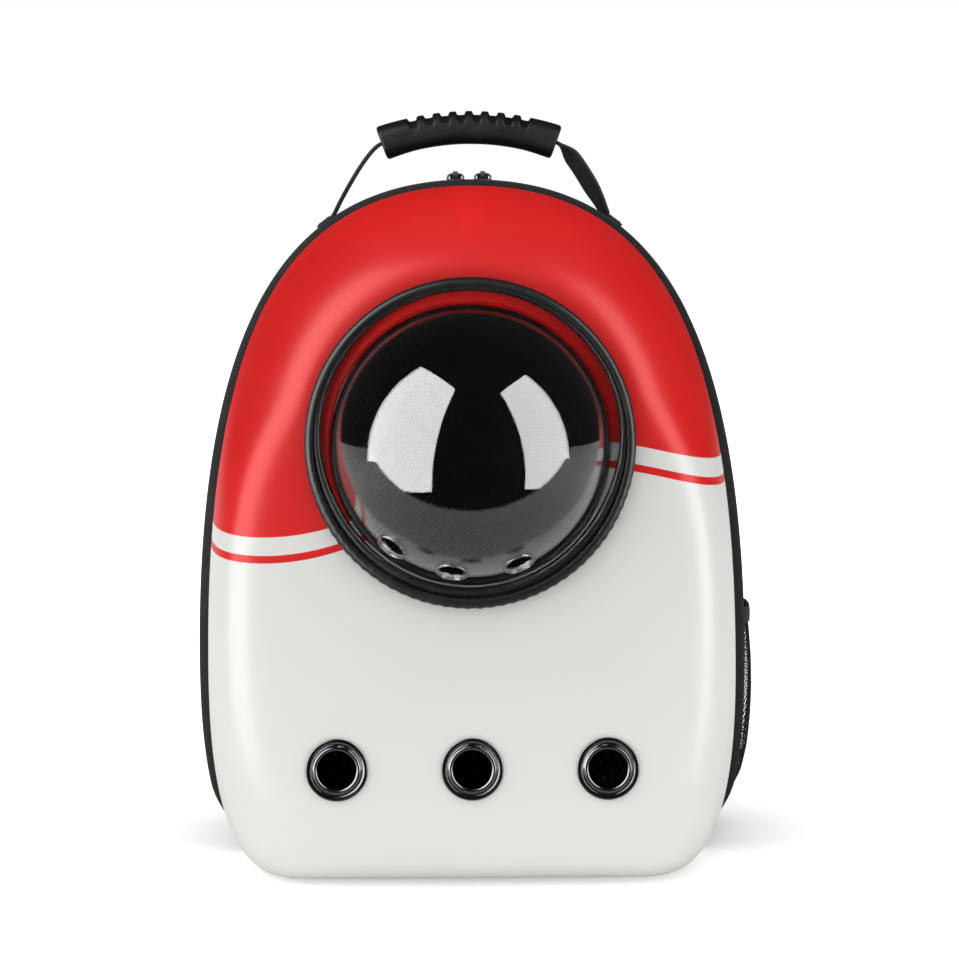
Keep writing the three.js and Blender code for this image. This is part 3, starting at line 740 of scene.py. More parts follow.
def moulded(name, colour, roughness, grain, depth=0.05, coat=0.0, metallic=0.0, spread=0.06,
            gloss=0.5):
    """Moulded or enamelled surface with fine grain and faint handling marks."""
    made, tree, shader = new_material(name)
    marks = speckle(tree, 18, 5.0)
    light = tuple(min(part * 1.5, 1) for part in colour)
    tree.links.new(mixed(tree, marks, (*colour, 1), (*light, 1)), shader.inputs["Base Color"])
    tree.links.new(ranged(tree, marks, 0.3, 0.7, max(roughness - spread, 0.02),
                          roughness + spread), shader.inputs["Roughness"])
    settle(shader, {"Metallic": metallic, "Specular IOR Level": gloss, "Coat Weight": coat,
                    "Coat Roughness": 0.12})
    bumped(tree, shader, speckle(tree, grain, 2.0), depth)
    return made


def shell_colours():
    """Red over off-white plastic, parted by the wave, under a clear gloss."""
    made, tree, shader = new_material("shell_gloss")
    place = node(tree, "ShaderNodeTexCoord").outputs["Object"]
    axes = node(tree, "ShaderNodeSeparateXYZ", {"Vector": place})
    across = axes.outputs["X"]
    swing = calc(tree, "MULTIPLY", calc(tree, "SINE", calc(
        tree, "MULTIPLY_ADD", across, 2 * math.pi / (WAVE["length"] * MM), WAVE["start"])),
        WAVE["swing"] * MM)
    line = calc(tree, "ADD", calc(tree, "MULTIPLY_ADD", across, WAVE["slope"],
                                  WAVE["height"] * MM), swing)
    above = calc(tree, "SUBTRACT", axes.outputs["Z"], line)
    red_zone = ranged(tree, above, -0.2 * MM, 0.2 * MM, 0.0, 1.0)
    from_stripe = calc(tree, "ABSOLUTE", calc(tree, "ADD", above, STRIPE["below"] * MM))
    half = STRIPE["width"] / 2 * MM
    stripe = ranged(tree, from_stripe, half - 0.2 * MM, half + 0.2 * MM, 1.0, 0.0)
    red_share = calc(tree, "MAXIMUM", red_zone, stripe)
    cloudy = speckle(tree, 90, 1.0)
    red = mixed(tree, cloudy, (0.70, 0.002, 0.002, 1), (0.73, 0.004, 0.003, 1))
    white = mixed(tree, cloudy, (0.76, 0.76, 0.73, 1), (0.775, 0.775, 0.75, 1))
    tree.links.new(mixed(tree, red_share, white, red), shader.inputs["Base Color"])
    fine = speckle(tree, 50, 1.0)
    tree.links.new(ranged(tree, fine, 0.3, 0.7, 0.34, 0.38), shader.inputs["Roughness"])
    settle(shader, {"Coat Weight": 0.06, "Coat Roughness": 0.24, "Specular IOR Level": 0.24})
    bumped(tree, shader, speckle(tree, 0.9, 1.0), 0.003, 0.5)
    return made


def clear_plastic():
    made, tree, shader = new_material("clear_window")
    marks = speckle(tree, 45, 2.0)
    tree.links.new(mixed(tree, marks, (0.9, 0.915, 0.92, 1), (0.93, 0.94, 0.94, 1)),
                   shader.inputs["Base Color"])
    tree.links.new(ranged(tree, marks, 0.35, 0.75, 0.015, 0.035), shader.inputs["Roughness"])
    settle(shader, {"Transmission Weight": 1.0, "IOR": 1.49, "Coat Weight": 0.3,
                    "Coat Roughness": 0.02, "Coat IOR": 1.5})
    return made


LOOKS = {
    "shell": shell_colours(),
    # Black cloth over the shell's inside is painted shade: it keeps the bag's inside unlit where
    # it shows through the window and eyelets.
    "inside_shade": woven("shell_inside_shade", (0.012, 0.012, 0.013), 0.9),
    "clear": clear_plastic(),
    "bead": moulded("bead_rubber", (0.006, 0.006, 0.0065), 0.36, grain=1.4, depth=0.02,
                    gloss=0.35),
    "eyelet": moulded("eyelet_metal", (0.10, 0.10, 0.105), 0.16, grain=2.2, depth=0.008,
                      metallic=1.0, spread=0.04),
    "cloth": woven("cloth_black", (0.006, 0.006, 0.0065), 0.85),
    "zip": woven("zip_cloth", (0.006, 0.006, 0.0065), 0.7),
    "coil": moulded("zip_coil", (0.016, 0.016, 0.017), 0.42, grain=0.5, depth=0.02),
    "mesh": spacer_mesh("padded_cloth", (0.012, 0.012, 0.013)),
    "net": woven("net_black", (0.008, 0.008, 0.008), 0.4),
    "webbing": ribbed_webbing("webbing_black", (0.006, 0.006, 0.0065)),
    "binding": woven("binding_black", (0.005, 0.005, 0.0055), 0.6),
    "thread": moulded("thread_black", (0.02, 0.02, 0.021), 0.6, grain=0.4, depth=0.05),
    "grip": moulded("grip_plastic", (0.004, 0.004, 0.0045), 0.46, grain=0.9, gloss=0.2),
    "metal": moulded("zip_metal", (0.04, 0.04, 0.042), 0.3, grain=1.6, depth=0.01, coat=0.5),
    "plastic": moulded("buckle_plastic", (0.016, 0.016, 0.017), 0.38, grain=0.7, depth=0.03),
}


# Front shell

FACE = (Matrix.Translation(framed((0, -SHELL_DEPTH, WINDOW_HEIGHT)))
        @ Matrix.Rotation(math.pi - FACE_LEAN, 4, "X"))


def face_depth(height):
    return SHELL_DEPTH + math.tan(FACE_LEAN) * (WINDOW_HEIGHT - height)


def shell_spoke(sunk):
    """Points from the window's edge over the seat and out to the rim, in one direction."""
    offset = sunk - Vector((0, WINDOW_HEIGHT))
    away = offset.length
    flatness = smoothstep(-offset.y / away, FLAT_BEGINS, FLAT_IS_FULL)
    power = lerp(SIDE_ROUNDNESS, FOOT_ROUNDNESS, flatness)
    turn = math.pi / 4
    knee = math.sin(turn) ** (2 / power)
    steps = 120
    angles = [math.asin((knee * i / steps) ** (power / 2)) for i in range(steps)]
    angles += [lerp(turn, math.pi / 2, i / steps) for i in range(steps + 1)]
    curve = []
    for angle in angles:
        reach = (SEAT_RADIUS + (away - SEAT_RADIUS) * math.sin(angle) ** (2 / power)) / away
        height = WINDOW_HEIGHT + offset.y * reach
        depth = -face_depth(height) * max(math.cos(angle), 0.0)
        curve.append(Vector((offset.x * reach, depth, footed(height))))
    seat = []
    for radius in (WINDOW_RADIUS, *SEAT_RINGS):
        height = WINDOW_HEIGHT + offset.y * radius / away
        seat.append(Vector((offset.x * radius / away, -face_depth(height), height)))
    return [framed(point) for point in [*seat, *spaced(curve, SHELL_ROWS)]]


def inset_rows(rows, wall):
    """Rows moved inwards by a wall, along the skin's own normals."""
    count = len(rows[0])
    last = len(rows) - 1
    made = []
    for j, row in enumerate(rows):
        above = rows[max(j - 1, 0)]
        below = rows[min(j + 1, last)]
        moved = []
        for i, point in enumerate(row):
            along = row[(i + 1) % count] - row[i - 1]
            inward = (below[i] - above[i]).cross(along).normalized()
            moved.append(point + inward * wall)
        if j == last:
            for point in moved:
                point.y = DEPTH_SHIFT
        made.append(moved)
    return made


def drill(radius, low, high, matrix):
    rows = turned_rows([(radius, low), (radius, high)], 64, matrix)
    return skin("drill", rows, LOOKS["inside_shade"], caps=True)


def eyelet_matrix(i):
    across = (i - 1) * EYELET_PITCH
    down = (WINDOW_HEIGHT - EYELET_HEIGHT) / math.cos(FACE_LEAN)
    return FACE @ Matrix.Translation((across, 0, down))


def front_shell():
    spokes = [shell_spoke(sunk) for sunk in SUNK]
    outer = [list(row) for row in zip(*spokes)]
    inner = inset_rows(outer, SHELL_WALL)
    points, faces, uv = grid([*outer, *reversed(inner)], wrapped=True)
    outside = len(SUNK) * (len(outer) - 1)
    # The inner skin takes the black inside, which is painted shade.
    face_looks = [0 if k < outside else 1 for k in range(len(faces))]
    shell = new_piece("shell_skin", points, faces, [LOOKS["shell"], LOOKS["inside_shade"]], uv,
                      face_looks)
    hole = EYELET_BORE / 2 + EYELET_BARREL + GAP
    for i in range(len(EYELET_NAMES)):
        cut(shell, drill(hole, -DRILL_REACH, DRILL_REACH, eyelet_matrix(i)))
    tidy(shell.data, 40)
    wear(shell, replaces=["front_shell"])


# Bubble window, bead and eyelets

DOME_SPHERE = (DOME_RADIUS ** 2 + DOME_RISE ** 2) / (2 * DOME_RISE)
DOME_CENTRE = DOME_RISE - DOME_SPHERE


def sphere_angle(radius, height):
    return math.degrees(math.asin((height - DOME_CENTRE) / radius))


def air_hole_matrix(turn):
    return (FACE @ Matrix.Translation((0, DOME_CENTRE, 0))
            @ Matrix.Rotation(math.radians(turn), 4, "Y")
            @ Matrix.Rotation(math.radians(AIR_HOLE_TILT), 4, "X"))


def sphere_normals(dome):
    """Exact normals on the two spheres, so that their reflections run smoothly."""
    centre = (FACE @ Vector((0, DOME_CENTRE, 0))) * MM
    mesh = dome.data
    normals = []
    for face in mesh.polygons:
        for k in face.vertices:
            out = (mesh.vertices[k].co - centre).normalized()
            facing = out.dot(face.normal)
            on_sphere = abs(facing) > 0.97
            normals.append(out * math.copysign(1, facing) if on_sphere else face.normal.copy())
    mesh.normals_split_custom_set(normals)


def window():
    inner = DOME_SPHERE - DOME_WALL
    flange_top = GAP + FLANGE_THICKNESS
    centre = (0, DOME_CENTRE)
    foot = sphere_angle(DOME_SPHERE, flange_top)
    outside = arc(DOME_SPHERE, centre, 89.6, foot, 60)
    inside = arc(inner, centre, sphere_angle(inner, GAP), 89.6, 40)
    profile = [
        *outside,
        (FLANGE_RADIUS - 0.6, flange_top),
        (FLANGE_RADIUS, flange_top - 0.6),
        (FLANGE_RADIUS, GAP),
        *inside,
    ]
    dome = skin("window_dome", turned_rows(profile, 128, FACE), LOOKS["clear"], caps=True)
    for turn in AIR_HOLE_TURNS:
        cut(dome, drill(AIR_HOLE_DIAMETER / 2, DOME_SPHERE - 2 * DRILL_REACH,
                        DOME_SPHERE + 2 * DRILL_REACH, air_hole_matrix(turn)))
    tidy(dome.data, 30)
    sphere_normals(dome)
    wear(dome, replaces=["dome"])
    for k, turn in enumerate(AIR_HOLE_TURNS):
        radius = AIR_HOLE_DIAMETER / 2 + AIR_HOLE_LIP_OUT
        height = math.sqrt(DOME_SPHERE ** 2 - radius ** 2)
        lip = arc(AIR_HOLE_LIP, (radius, height), 0, 330, 11)
        rows = turned_rows(lip, 48, air_hole_matrix(turn))
        wear(skin(f"air_hole_rim_{k}", rows, LOOKS["clear"], wrapped=True))


def bead_section(downward, scallop):
    """Section of the bead where its spoke has a share of its length pointing downward."""
    widened = smoothstep(downward, *BEAD_WIDENS)
    width = lerp(BEAD_WIDTHS["top"], BEAD_WIDTHS["foot"], widened)
    under = GAP + FLANGE_THICKNESS + GAP
    inner = BEAD_OUTER_RADIUS - width
    top = under + BEAD_HEIGHT
    outer = BEAD_OUTER_RADIUS - scallop
    ridge = 2.4 + 0.8 * widened
    crest = 3.4 + 0.6 * widened
    low = top - 1.3 - 0.5 * widened
    return [
        (inner, under),
        *arc(ridge, (inner + ridge, low - ridge), 180, 70, 8),
        ((inner + ridge + outer - crest) / 2, low - 1.0 - 0.4 * widened),
        *arc(crest, (outer - crest, top - crest), 115, 0, 10),
        (outer, GAP + 0.5),
        (outer - 0.5, GAP),
        (FLANGE_RADIUS + GAP, GAP),
        (FLANGE_RADIUS + GAP, under),
    ]


def bead():
    """Glossy bead with two ridges, wider and finely scalloped towards its foot."""
    rows = []
    for i in range(BEAD_STEPS):
        turn = 2 * math.pi * i / BEAD_STEPS
        downward = math.cos(turn)
        scallop = SCALLOP * smoothstep(downward, 0.0, 0.4) * (1 + math.sin(i * math.pi / 2))
        rows.append([FACE @ Vector((radius * math.sin(turn), height, radius * downward))
                     for radius, height in bead_section(downward, scallop)])
    ring = skin("window_bead", rows, LOOKS["bead"], wrapped=True)
    wear(ring, replaces=["dome_ring"])


def eyelet(i):
    bore = EYELET_BORE / 2
    outer = EYELET_DIAMETER / 2
    barrel = bore + EYELET_BARREL
    face = GAP + EYELET_THICKNESS
    back = -(SHELL_WALL + EYELET_SLACK)
    profile = [
        (barrel, GAP),
        (outer - 0.2, GAP),
        *arc(0.7, (outer - 0.7, GAP + 0.7), -20, 100, 6),
        (outer - 2.6, face + 0.15),
        (barrel + EYELET_LIP + 0.7, face - 0.35),
        (barrel + EYELET_LIP, face + 0.1),
        *arc(EYELET_LIP, (barrel - 0.1, face), 55, 160, 8),
        (bore, face - 0.6),
        (bore, back - EYELET_THICKNESS + 0.5),
        (bore + 0.5, back - EYELET_THICKNESS),
        (barrel + EYELET_BACK_FLANGE, back - EYELET_THICKNESS),
        (barrel + EYELET_BACK_FLANGE, back),
        (barrel, back),
    ]
    rows = turned_rows(profile, 96, eyelet_matrix(i))
    name = EYELET_NAMES[i]
    ring = skin(f"eyelet_{name}", rows, LOOKS["eyelet"], wrapped=True, sharp=60)
    wear(ring, replaces=[f"vent_grommet_{name}"])


# Pieces that run all round the bag

# How proud the welt is, and how far back
WELT_SECTION = [(0.35, 0), (0.8, 0.14), (1, 0.5), (0.8, 0.86), (0.35, 1)]


def edge_welt():
    section = spline([Vector((out, back)) for out, back in WELT_SECTION], 4)
    rows = [around_bag(WELT_PROUD * row.x, 0, GAP + WELT_WIDTH * row.y) for row in section]
    rows += [around_bag(0, WELT_TUCK, depth) for depth in (GAP + WELT_WIDTH, GAP)]
    welt = skin("edge_piping", rows, LOOKS["binding"], wrapped=True)
    wear(welt, replaces=["edge_welt"])


# How far back on the tapes, and how far they are sunk there
TAPE_ROWS = [(0, 0.4), (0.4, 0), (4.2, 0), (4.8, 0.4), (10.2, 0.4), (10.8, 0), (14.6, 0),
             (15, 0.4)]
# How far across the coil, and how high it is there
COIL_PROFILE = [(-0.5, 0.1), (-0.38, 0.9), (0.0, 1.15), (0.38, 0.9), (0.5, 0.1)]


def zip_tapes():
    rows = [around_bag(ZIP_PROUD - sunk, 0, ZIP_FRONT + depth) for depth, sunk in TAPE_ROWS]
    rows += [around_bag(ZIP_PROUD, ZIP_THICKNESS, ZIP_FRONT + depth) for depth in (ZIP_WIDTH, 0)]
    tapes = skin("zip_tapes", rows, LOOKS["zip"], wrapped=True)
    wear(tapes, replaces=["zip_tape"])


def zip_coil():
    """Short rounded bars that lean one way and the other in turn."""
    line = around_bag(ZIP_PROUD + COIL_PROUD, 0, ZIP_FRONT + ZIP_WIDTH / 2)
    back = Vector((0, 1, 0))
    rings = []
    for n, (centre, _, up) in enumerate(places_along(line, bag_normals(), COIL_PITCH, True)):
        up = up.normalized()
        along = back.cross(up)
        lean = COIL_LEAN if n % 2 else -COIL_LEAN
        for reach, rise in COIL_PROFILE:
            middle = (centre + (back + along * lean) * reach * COIL_WIDTH
                      + up * rise * (COIL_HEIGHT - COIL_BAR))
            middle.z = max(middle.z, COIL_BAR)
            rings.append(ring(middle, along, up, COIL_BAR, 5))
    wear(bars("zip_coil", rings, len(COIL_PROFILE), LOOKS["coil"]))


# Rows of stitches round the cloth wall, by how far back they are
SEAMS = {"front": 3, "rear": GUSSET_DEPTH - 4}
SEAM_SUNK = 0.1
SEAM_CLEAR = 0.7
# How far back on the cloth wall, and what share of its bulge it has there
GUSSET_ROWS = [(0, 0), (0.12, 0.5), (0.35, 1), (0.65, 0.95), (0.9, 0.3), (1, -0.6)]


def gusset_stand_off(depth):
    back = min(max((depth - GUSSET_FRONT) / GUSSET_DEPTH, 0), 1)
    return GUSSET_PROUD + GUSSET_BULGE * eased(GUSSET_ROWS, back)


def crumple(x, depth, z):
    """Shallow folds of the cloth wall, that die out towards its seams."""
    back = (depth - GUSSET_FRONT) / GUSSET_DEPTH
    free = math.sin(math.pi * min(max(back, 0), 1))
    folds = noise.noise(Vector((x * 0.012, depth * 0.035, z * 0.012)))
    ripples = noise.noise(Vector((x * 0.04 + 7, depth * 0.05, z * 0.04)))
    return free * (FOLD_DEPTH * folds + RIPPLE_DEPTH * ripples) - GAP


def gusset():
    section = spline([Vector(row) for row in GUSSET_ROWS], 5)
    outer = [around_bag(GUSSET_PROUD + GUSSET_BULGE * row.y, 0,
                        GUSSET_FRONT + GUSSET_DEPTH * row.x, crumple) for row in section]
    inner = [around_bag(GUSSET_PROUD + GUSSET_BULGE * row.y, GUSSET_WALL,
                        GUSSET_FRONT + GUSSET_DEPTH * row.x, crumple)
             for row in reversed(section)]
    wall = skin("side_cloth", [*outer, *inner], LOOKS["cloth"], wrapped=True)
    wear(wall, replaces=["gusset"])
    for name, back in SEAMS.items():
        depth = GUSSET_FRONT + back
        seam = above_floor(around_bag(gusset_stand_off(depth) - SEAM_SUNK, 0, depth), SEAM_CLEAR)
        row = stitches(f"side_stitch_{name}", seam, bag_normals(), closed=True)
        wear(row)


# Over the back's edge: how proud, how far in and how far back
BACK_EDGE_ROWS = [(1, 0, 0), (1.4, 0, 0.3), (1, 0, 0.65), (0, 0.5, 1)]
PIPING_PLACE = (1.45, 0.3)
# Sewn channels: heights of the cross ones, and how deep each kind is
PANEL_CHANNELS = [100, 185, 270]
CHANNEL_DEPTHS = {"spine": 4.2, "cross": 3.2, "side": 3.0}


def back_field(share, depth):
    middle = BAG_HEIGHT / 2
    scale = 1 - share
    return [framed((point.x * scale, depth, middle + (point.y - middle) * scale))
            for point in RIM]


def channel(distance, width):
    return math.exp(-(distance / width) ** 2)


def panel_relief(x, z):
    """How far the sewn channels pull the back in, in millimetres."""
    spine = smoothstep(abs(x), 20, 9) * smoothstep(z, 24, 60) * smoothstep(z, 345, 315)
    cross = max(channel(z - height, 3.2) for height in PANEL_CHANNELS)
    cross *= smoothstep(abs(x), 128, 112) * smoothstep(abs(x), 12, 24)
    side = channel(abs(x) - 116, 3.0) * smoothstep(z, 30, 60) * smoothstep(z, 350, 300)
    shares = {"spine": spine, "cross": cross, "side": side}
    return max(depth * shares[kind] for kind, depth in CHANNEL_DEPTHS.items())


def back_panel():
    edge_proud = gusset_stand_off(BACK_FRONT)
    edge = spline([Vector(row) for row in BACK_EDGE_ROWS], 4)
    rows = [around_bag(edge_proud * row.x, BACK_THICKNESS * row.y,
                       BACK_FRONT + BACK_THICKNESS * row.z) for row in edge]
    for k in range(4, 85):
        share = 0.04 + 0.92 * k / 84
        swell = smoothstep(share, 0.0, 0.16)
        row = back_field(share, BACK_EDGE + BACK_CROWN * swell)
        for point in row:
            point.y -= panel_relief(point.x, point.z) * smoothstep(share, 0.12, 0.22)
        rows.append(row)
    inside = [back_field(0.08, BACK_FRONT), around_bag(edge_proud, 3, BACK_FRONT)]
    rows = [above_floor(row, 0) for row in [*inside, *rows]]
    panel = skin("back_cushion", rows, LOOKS["mesh"], caps=True)
    wear(panel, replaces=["back_panel"])
    proud, back = PIPING_PLACE
    trim = around_bag(edge_proud * proud, 0, BACK_FRONT + BACK_THICKNESS * back)
    rings = [ring(point, normal, Vector((0, 1, 0)), PIPING_RADIUS, 8)
             for point, normal in zip(above_floor(trim, PIPING_RADIUS), bag_normals())]
    pipe = [list(row) for row in zip(*rings)]
    wear(skin("back_piping", pipe, LOOKS["binding"], wrapped=True))


# Net pocket

# Share of the pocket's length or height, and what share of its bulge it has there
POCKET_COLUMNS = [(0, 0), (0.08, 0.55), (0.25, 0.9), (0.5, 1), (0.75, 0.9), (0.92, 0.55), (1, 0)]
POCKET_ROWS = [(0, 0), (0.06, 0.4), (0.14, 0.7), (0.24, 0.9), (0.36, 1), (0.5, 1), (0.65, 0.97),
               (0.82, 0.88), (1, 0.7)]


def pocket_point(back, height, swell, outward):
    depth = GUSSET_FRONT + POCKET_FRONT + POCKET_LENGTH * back
    cloth = gusset_stand_off(depth) * lift(height) + POCKET_CLEAR
    bulge = POCKET_BULGE * swell * eased(POCKET_COLUMNS, back)
    return side_point(height, cloth + bulge + outward, depth)


def net_pocket():
    tall = POCKET_TOP - POCKET_FOOT
    columns = round(POCKET_LENGTH / NET_STEP)
    rows = round(tall / NET_STEP)
    index = {}
    points = []
    for j in range(rows + 1):
        for i in range(columns + 1):
            if (i + j) % 2:
                continue
            share = j / rows
            point = pocket_point(i / columns, POCKET_FOOT + tall * share,
                                 eased(POCKET_ROWS, share), POCKET_WALL / 2)
            index[i, j] = len(points)
            points.append(point)
    faces = []
    for j in range(1, rows):
        for i in range(1, columns):
            if (i + j) % 2:
                faces.append((index[i - 1, j], index[i, j - 1], index[i + 1, j],
                              index[i, j + 1]))
    net = new_piece("pocket_mesh", points, faces, [LOOKS["net"]])
    strands = net.modifiers.new("strands", "WIREFRAME")
    strands.thickness = NET_STRAND * MM
    strands.use_even_offset = False
    strands.use_boundary = True
    bake(net)
    wear(net, replaces=["pocket_net"])


def pocket_hem():
    swell = POCKET_ROWS[-1][1]
    foot = POCKET_TOP + GAP
    columns = 60
    loops = []
    for k in range(columns + 1):
        back = k / columns
        gather = HEM_GATHER * math.sin(2 * math.pi * k / 3.2)
        row = []
        for height, outward in ((0, 0), (0, 1), (0.5, 1.15), (1, 1), (1, 0)):
            row.append(pocket_point(back, foot + HEM_HEIGHT * height + gather * 0.4, swell,
                                    HEM_THICKNESS * outward + gather * 0.3))
        loops.append(row)
    band = skin("pocket_band", loops, LOOKS["webbing"], caps=True)
    wear(band, replaces=["pocket_hem"])


def pocket_binding():
    """Narrow tape over the net's sewn edges."""
    heights = [lerp(POCKET_TOP + HEM_HEIGHT, POCKET_FOOT, k / 40) for k in range(41)]
    path = [pocket_point(0.0, height, 0, BINDING_PROUD) for height in heights]
    path += [pocket_point(k / 24, POCKET_FOOT - 0.5, 0, BINDING_PROUD) for k in range(1, 24)]
    path += [pocket_point(1.0, height, 0, BINDING_PROUD) for height in reversed(heights)]
    rows = tube_rows(spaced(path, 160), BINDING_RADIUS, 8, Vector((1, 0, 0)))
    wear(skin("pocket_binding", rows, LOOKS["binding"], caps=True))


# Carrying handle

# Each end of the grip: how far in, and what share of its depth and height it has there
GRIP_MOUTH = [(9, 0.86, 0.2), (1.2, 0.86, 0.2), (0, 0.9, 0.55), (0, 0.95, 0.88),
              (0.7, 0.99, 0.98)]
GRIP_ARC = ((GRIP_LENGTH / 2) ** 2 + GRIP_RISE ** 2) / (2 * GRIP_RISE)


def grip_point(across):
    drop = GRIP_ARC - math.sqrt(GRIP_ARC ** 2 - across ** 2)
    return framed((across, HANDLE_DEPTH, GRIP_MIDDLE - drop))


def groove(across):
    """Depth of the grooves across the grip's top, with round shoulders."""
    first = -(GROOVE_COUNT - 1) / 2
    nearest = min(max(round(across / GROOVE_PITCH - first), 0), GROOVE_COUNT - 1)
    distance = abs(across - (nearest + first) * GROOVE_PITCH)
    return GROOVE_DEPTH * smoothstep(distance, GROOVE_WIDTH / 2 + 0.5, GROOVE_WIDTH / 2 - 0.7)


def grip_loop(across, scale_y=1.0, scale_z=1.0):
    centre = grip_point(across)
    outward = Vector((across, 0, GRIP_ARC - GRIP_RISE)).normalized()
    row = []
    for k in range(48):
        angle = (k + 0.5) * 2 * math.pi / 48
        y = squared(math.cos(angle), GRIP_CORNERS)
        z = squared(math.sin(angle), GRIP_CORNERS)
        flare = GRIP_FLARE * smoothstep(abs(across), GRIP_LENGTH * 0.3, GRIP_LENGTH / 2)
        half = GRIP_THICKNESS / 2 + flare
        sunk = groove(across) * smoothstep(z, 0.1, 0.75)
        slit = channel(y * GRIP_WIDTH / 2, SLIT_WIDTH) * SLIT_DEPTH if z < -0.5 else 0.0
        row.append(centre + Vector((0, y * (GRIP_WIDTH / 2 - sunk * 0.3) * scale_y, 0))
                   + outward * (z * half - sunk + slit) * scale_z)
    return row


def grip():
    half = GRIP_LENGTH / 2
    steps = 190
    rows = [grip_loop(-half + inset, deep, tall) for inset, deep, tall in GRIP_MOUTH]
    rows += [grip_loop(lerp(-half + 1.6, half - 1.6, k / steps)) for k in range(steps + 1)]
    rows += [grip_loop(half - inset, deep, tall) for inset, deep, tall in reversed(GRIP_MOUTH)]
    made = skin("handle_sleeve", rows, LOOKS["grip"], sharp=70)
    wear(made, replaces=["handle_grip"])


def handle_strap():
    clear = HANDLE_WEB_THICKNESS / 2 + HANDLE_CLEAR
    foot = [crown_point(HANDLE_FOOT_SPAN / 2 + HANDLE_FOOT_LENGTH * share, clear, HANDLE_DEPTH)
            for share in (1, 0.8, 0.6, 0.4, 0.2, 0.04)]
    inside = [grip_point(GRIP_LENGTH / 2 * share) for share in (1, 0.8, 0.6, 0.4, 0.2)]
    leaving = inside[0] + (inside[0] - inside[1]).normalized() * HANDLE_TURN
    bend = bezier(foot[-1], foot[-1].lerp(leaving, 2 / 3), inside[0].lerp(leaving, 2 / 3),
                  inside[0], 8)
    right = [*foot, *bend[1:-1], *inside]
    left = [Vector((-point.x, point.y, point.z)) for point in reversed(right)]
    route = spline([*right, grip_point(0), *left], 8)

    def turn_at(share):
        return HANDLE_TWIST * smoothstep(share, 0.1, 0.2) * smoothstep(share, 0.34, 0.26)

    rows = band_rows(route, Vector((0, 1, 0)), HANDLE_WEB_WIDTH, HANDLE_WEB_THICKNESS,
                     turn_at=turn_at)
    strap = skin("handle_webbing", rows, LOOKS["webbing"], caps=True)
    wear(strap, replaces=["handle_strap"])
    for name, side in (("left", -1), ("right", 1)):
        foot_stitching(name, side, foot)


def foot_stitching(name, side, foot):
    """A sewn box with a cross where the handle's webbing ends."""
    along = foot[4] - foot[0]
    up = Vector((along.z, 0, -along.x)).normalized()
    if up.z < 0:
        up = -up
    half = HANDLE_WEB_WIDTH / 2 - 3
    rise = HANDLE_WEB_THICKNESS / 2 + 0.05
    corners = [(0, -1), (1, -1), (1, 1), (0, 1), (0, -1), (1, 1), (1, -1), (0, 1)]
    path = []
    for (s0, d0), (s1, d1) in zip(corners, corners[1:]):
        for k in range(12):
            place = foot_curve(foot, lerp(s0, s1, k / 12)) + up * rise
            place.y += lerp(d0, d1, k / 12) * half
            path.append(Vector((side * place.x, place.y, place.z)))
    normals = [Vector((side * up.x, 0, up.z))] * len(path)
    wear(stitches(f"handle_stitch_{name}", path, normals, pitch=2.6, length=2.0, radius=0.35))


def foot_curve(foot, share):
    place = lerp(0.6, 4, share)
    k = min(int(place), len(foot) - 2)
    return foot[k].lerp(foot[k + 1], place - k)


# Shoulder straps

# Line of a pad: how far down, how far off the back and how far out to the side
PAD_ROUTE = [
    (0.12, 0, 0), (0, 0.03, 0.01), (-0.08, 0.2, 0.02), (-0.06, 0.5, 0.04),
    (0.1, 0.82, 0.12), (0.4, 1, 0.28), (0.72, 0.94, 0.5), (1, 0.78, 0.72),
]


def pad_route(side):
    drop = STRAP_TOP_HEIGHT - PAD_FOOT_HEIGHT
    made = []
    for down, out, spread in PAD_ROUTE:
        half = lerp(STRAP_TOP_SPAN, STRAP_FOOT_SPAN, spread) / 2
        made.append(framed((side * half,
                            BACK_FACE + GAP + STRAP_THICKNESS / 2 + STRAP_REACH * out,
                            STRAP_TOP_HEIGHT - drop * down)))
    return made


def coarse_pad_points(side):
    """The pad's line at as many even steps as the frame has."""
    fine = spline(pad_route(side), 60)
    return [fine[round(k * (len(fine) - 1) / PAD_STEPS)] for k in range(PAD_STEPS + 1)]


def pad_share(share):
    end = max(0.0, share - PAD_TAPER_FROM) / (1 - PAD_TAPER_FROM)
    return 1 - PAD_TAPER_BY * end


def shoulder_strap(name, side):
    route = spline(pad_route(side), 12)
    axis = Vector((1, 0, 0))
    rows = []
    steps = len(route) - 1
    edges = ([], [])
    for i, (point, across, over) in enumerate(frames_along(route, axis)):
        share = i / steps
        half = STRAP_WIDTH / 2 * pad_share(share)
        end = min(smoothstep(share, -0.002, 0.03), smoothstep(share, 1.002, 0.97))
        row = []
        for k in range(40):
            angle = 2 * math.pi * k / 40
            x = squared(math.cos(angle), 0.55)
            y = squared(math.sin(angle), 0.75)
            seam = channel(abs(x) - 0.74, 0.07) * 1.5
            thick = (STRAP_THICKNESS / 2 - seam) * lerp(0.45, 1, end)
            row.append(point + across * x * (half - 1.4) + over * y * thick)
        rows.append(row)
        for edge, out in zip(edges, (1, -1)):
            edge.append(point + across * out * (half - 1.2))
    pad = skin(f"shoulder_cushion_{name}", rows, LOOKS["mesh"], caps=True)
    wear(pad, replaces=[f"shoulder_pad_{name}"])
    for k, edge in enumerate(edges):
        rows = tube_rows(edge, PIPING_RADIUS, 8, axis.cross(Vector((0, 1, 0))))
        binding = skin(f"shoulder_binding_{name}_{k}", rows, LOOKS["binding"], caps=True)
        wear(binding)


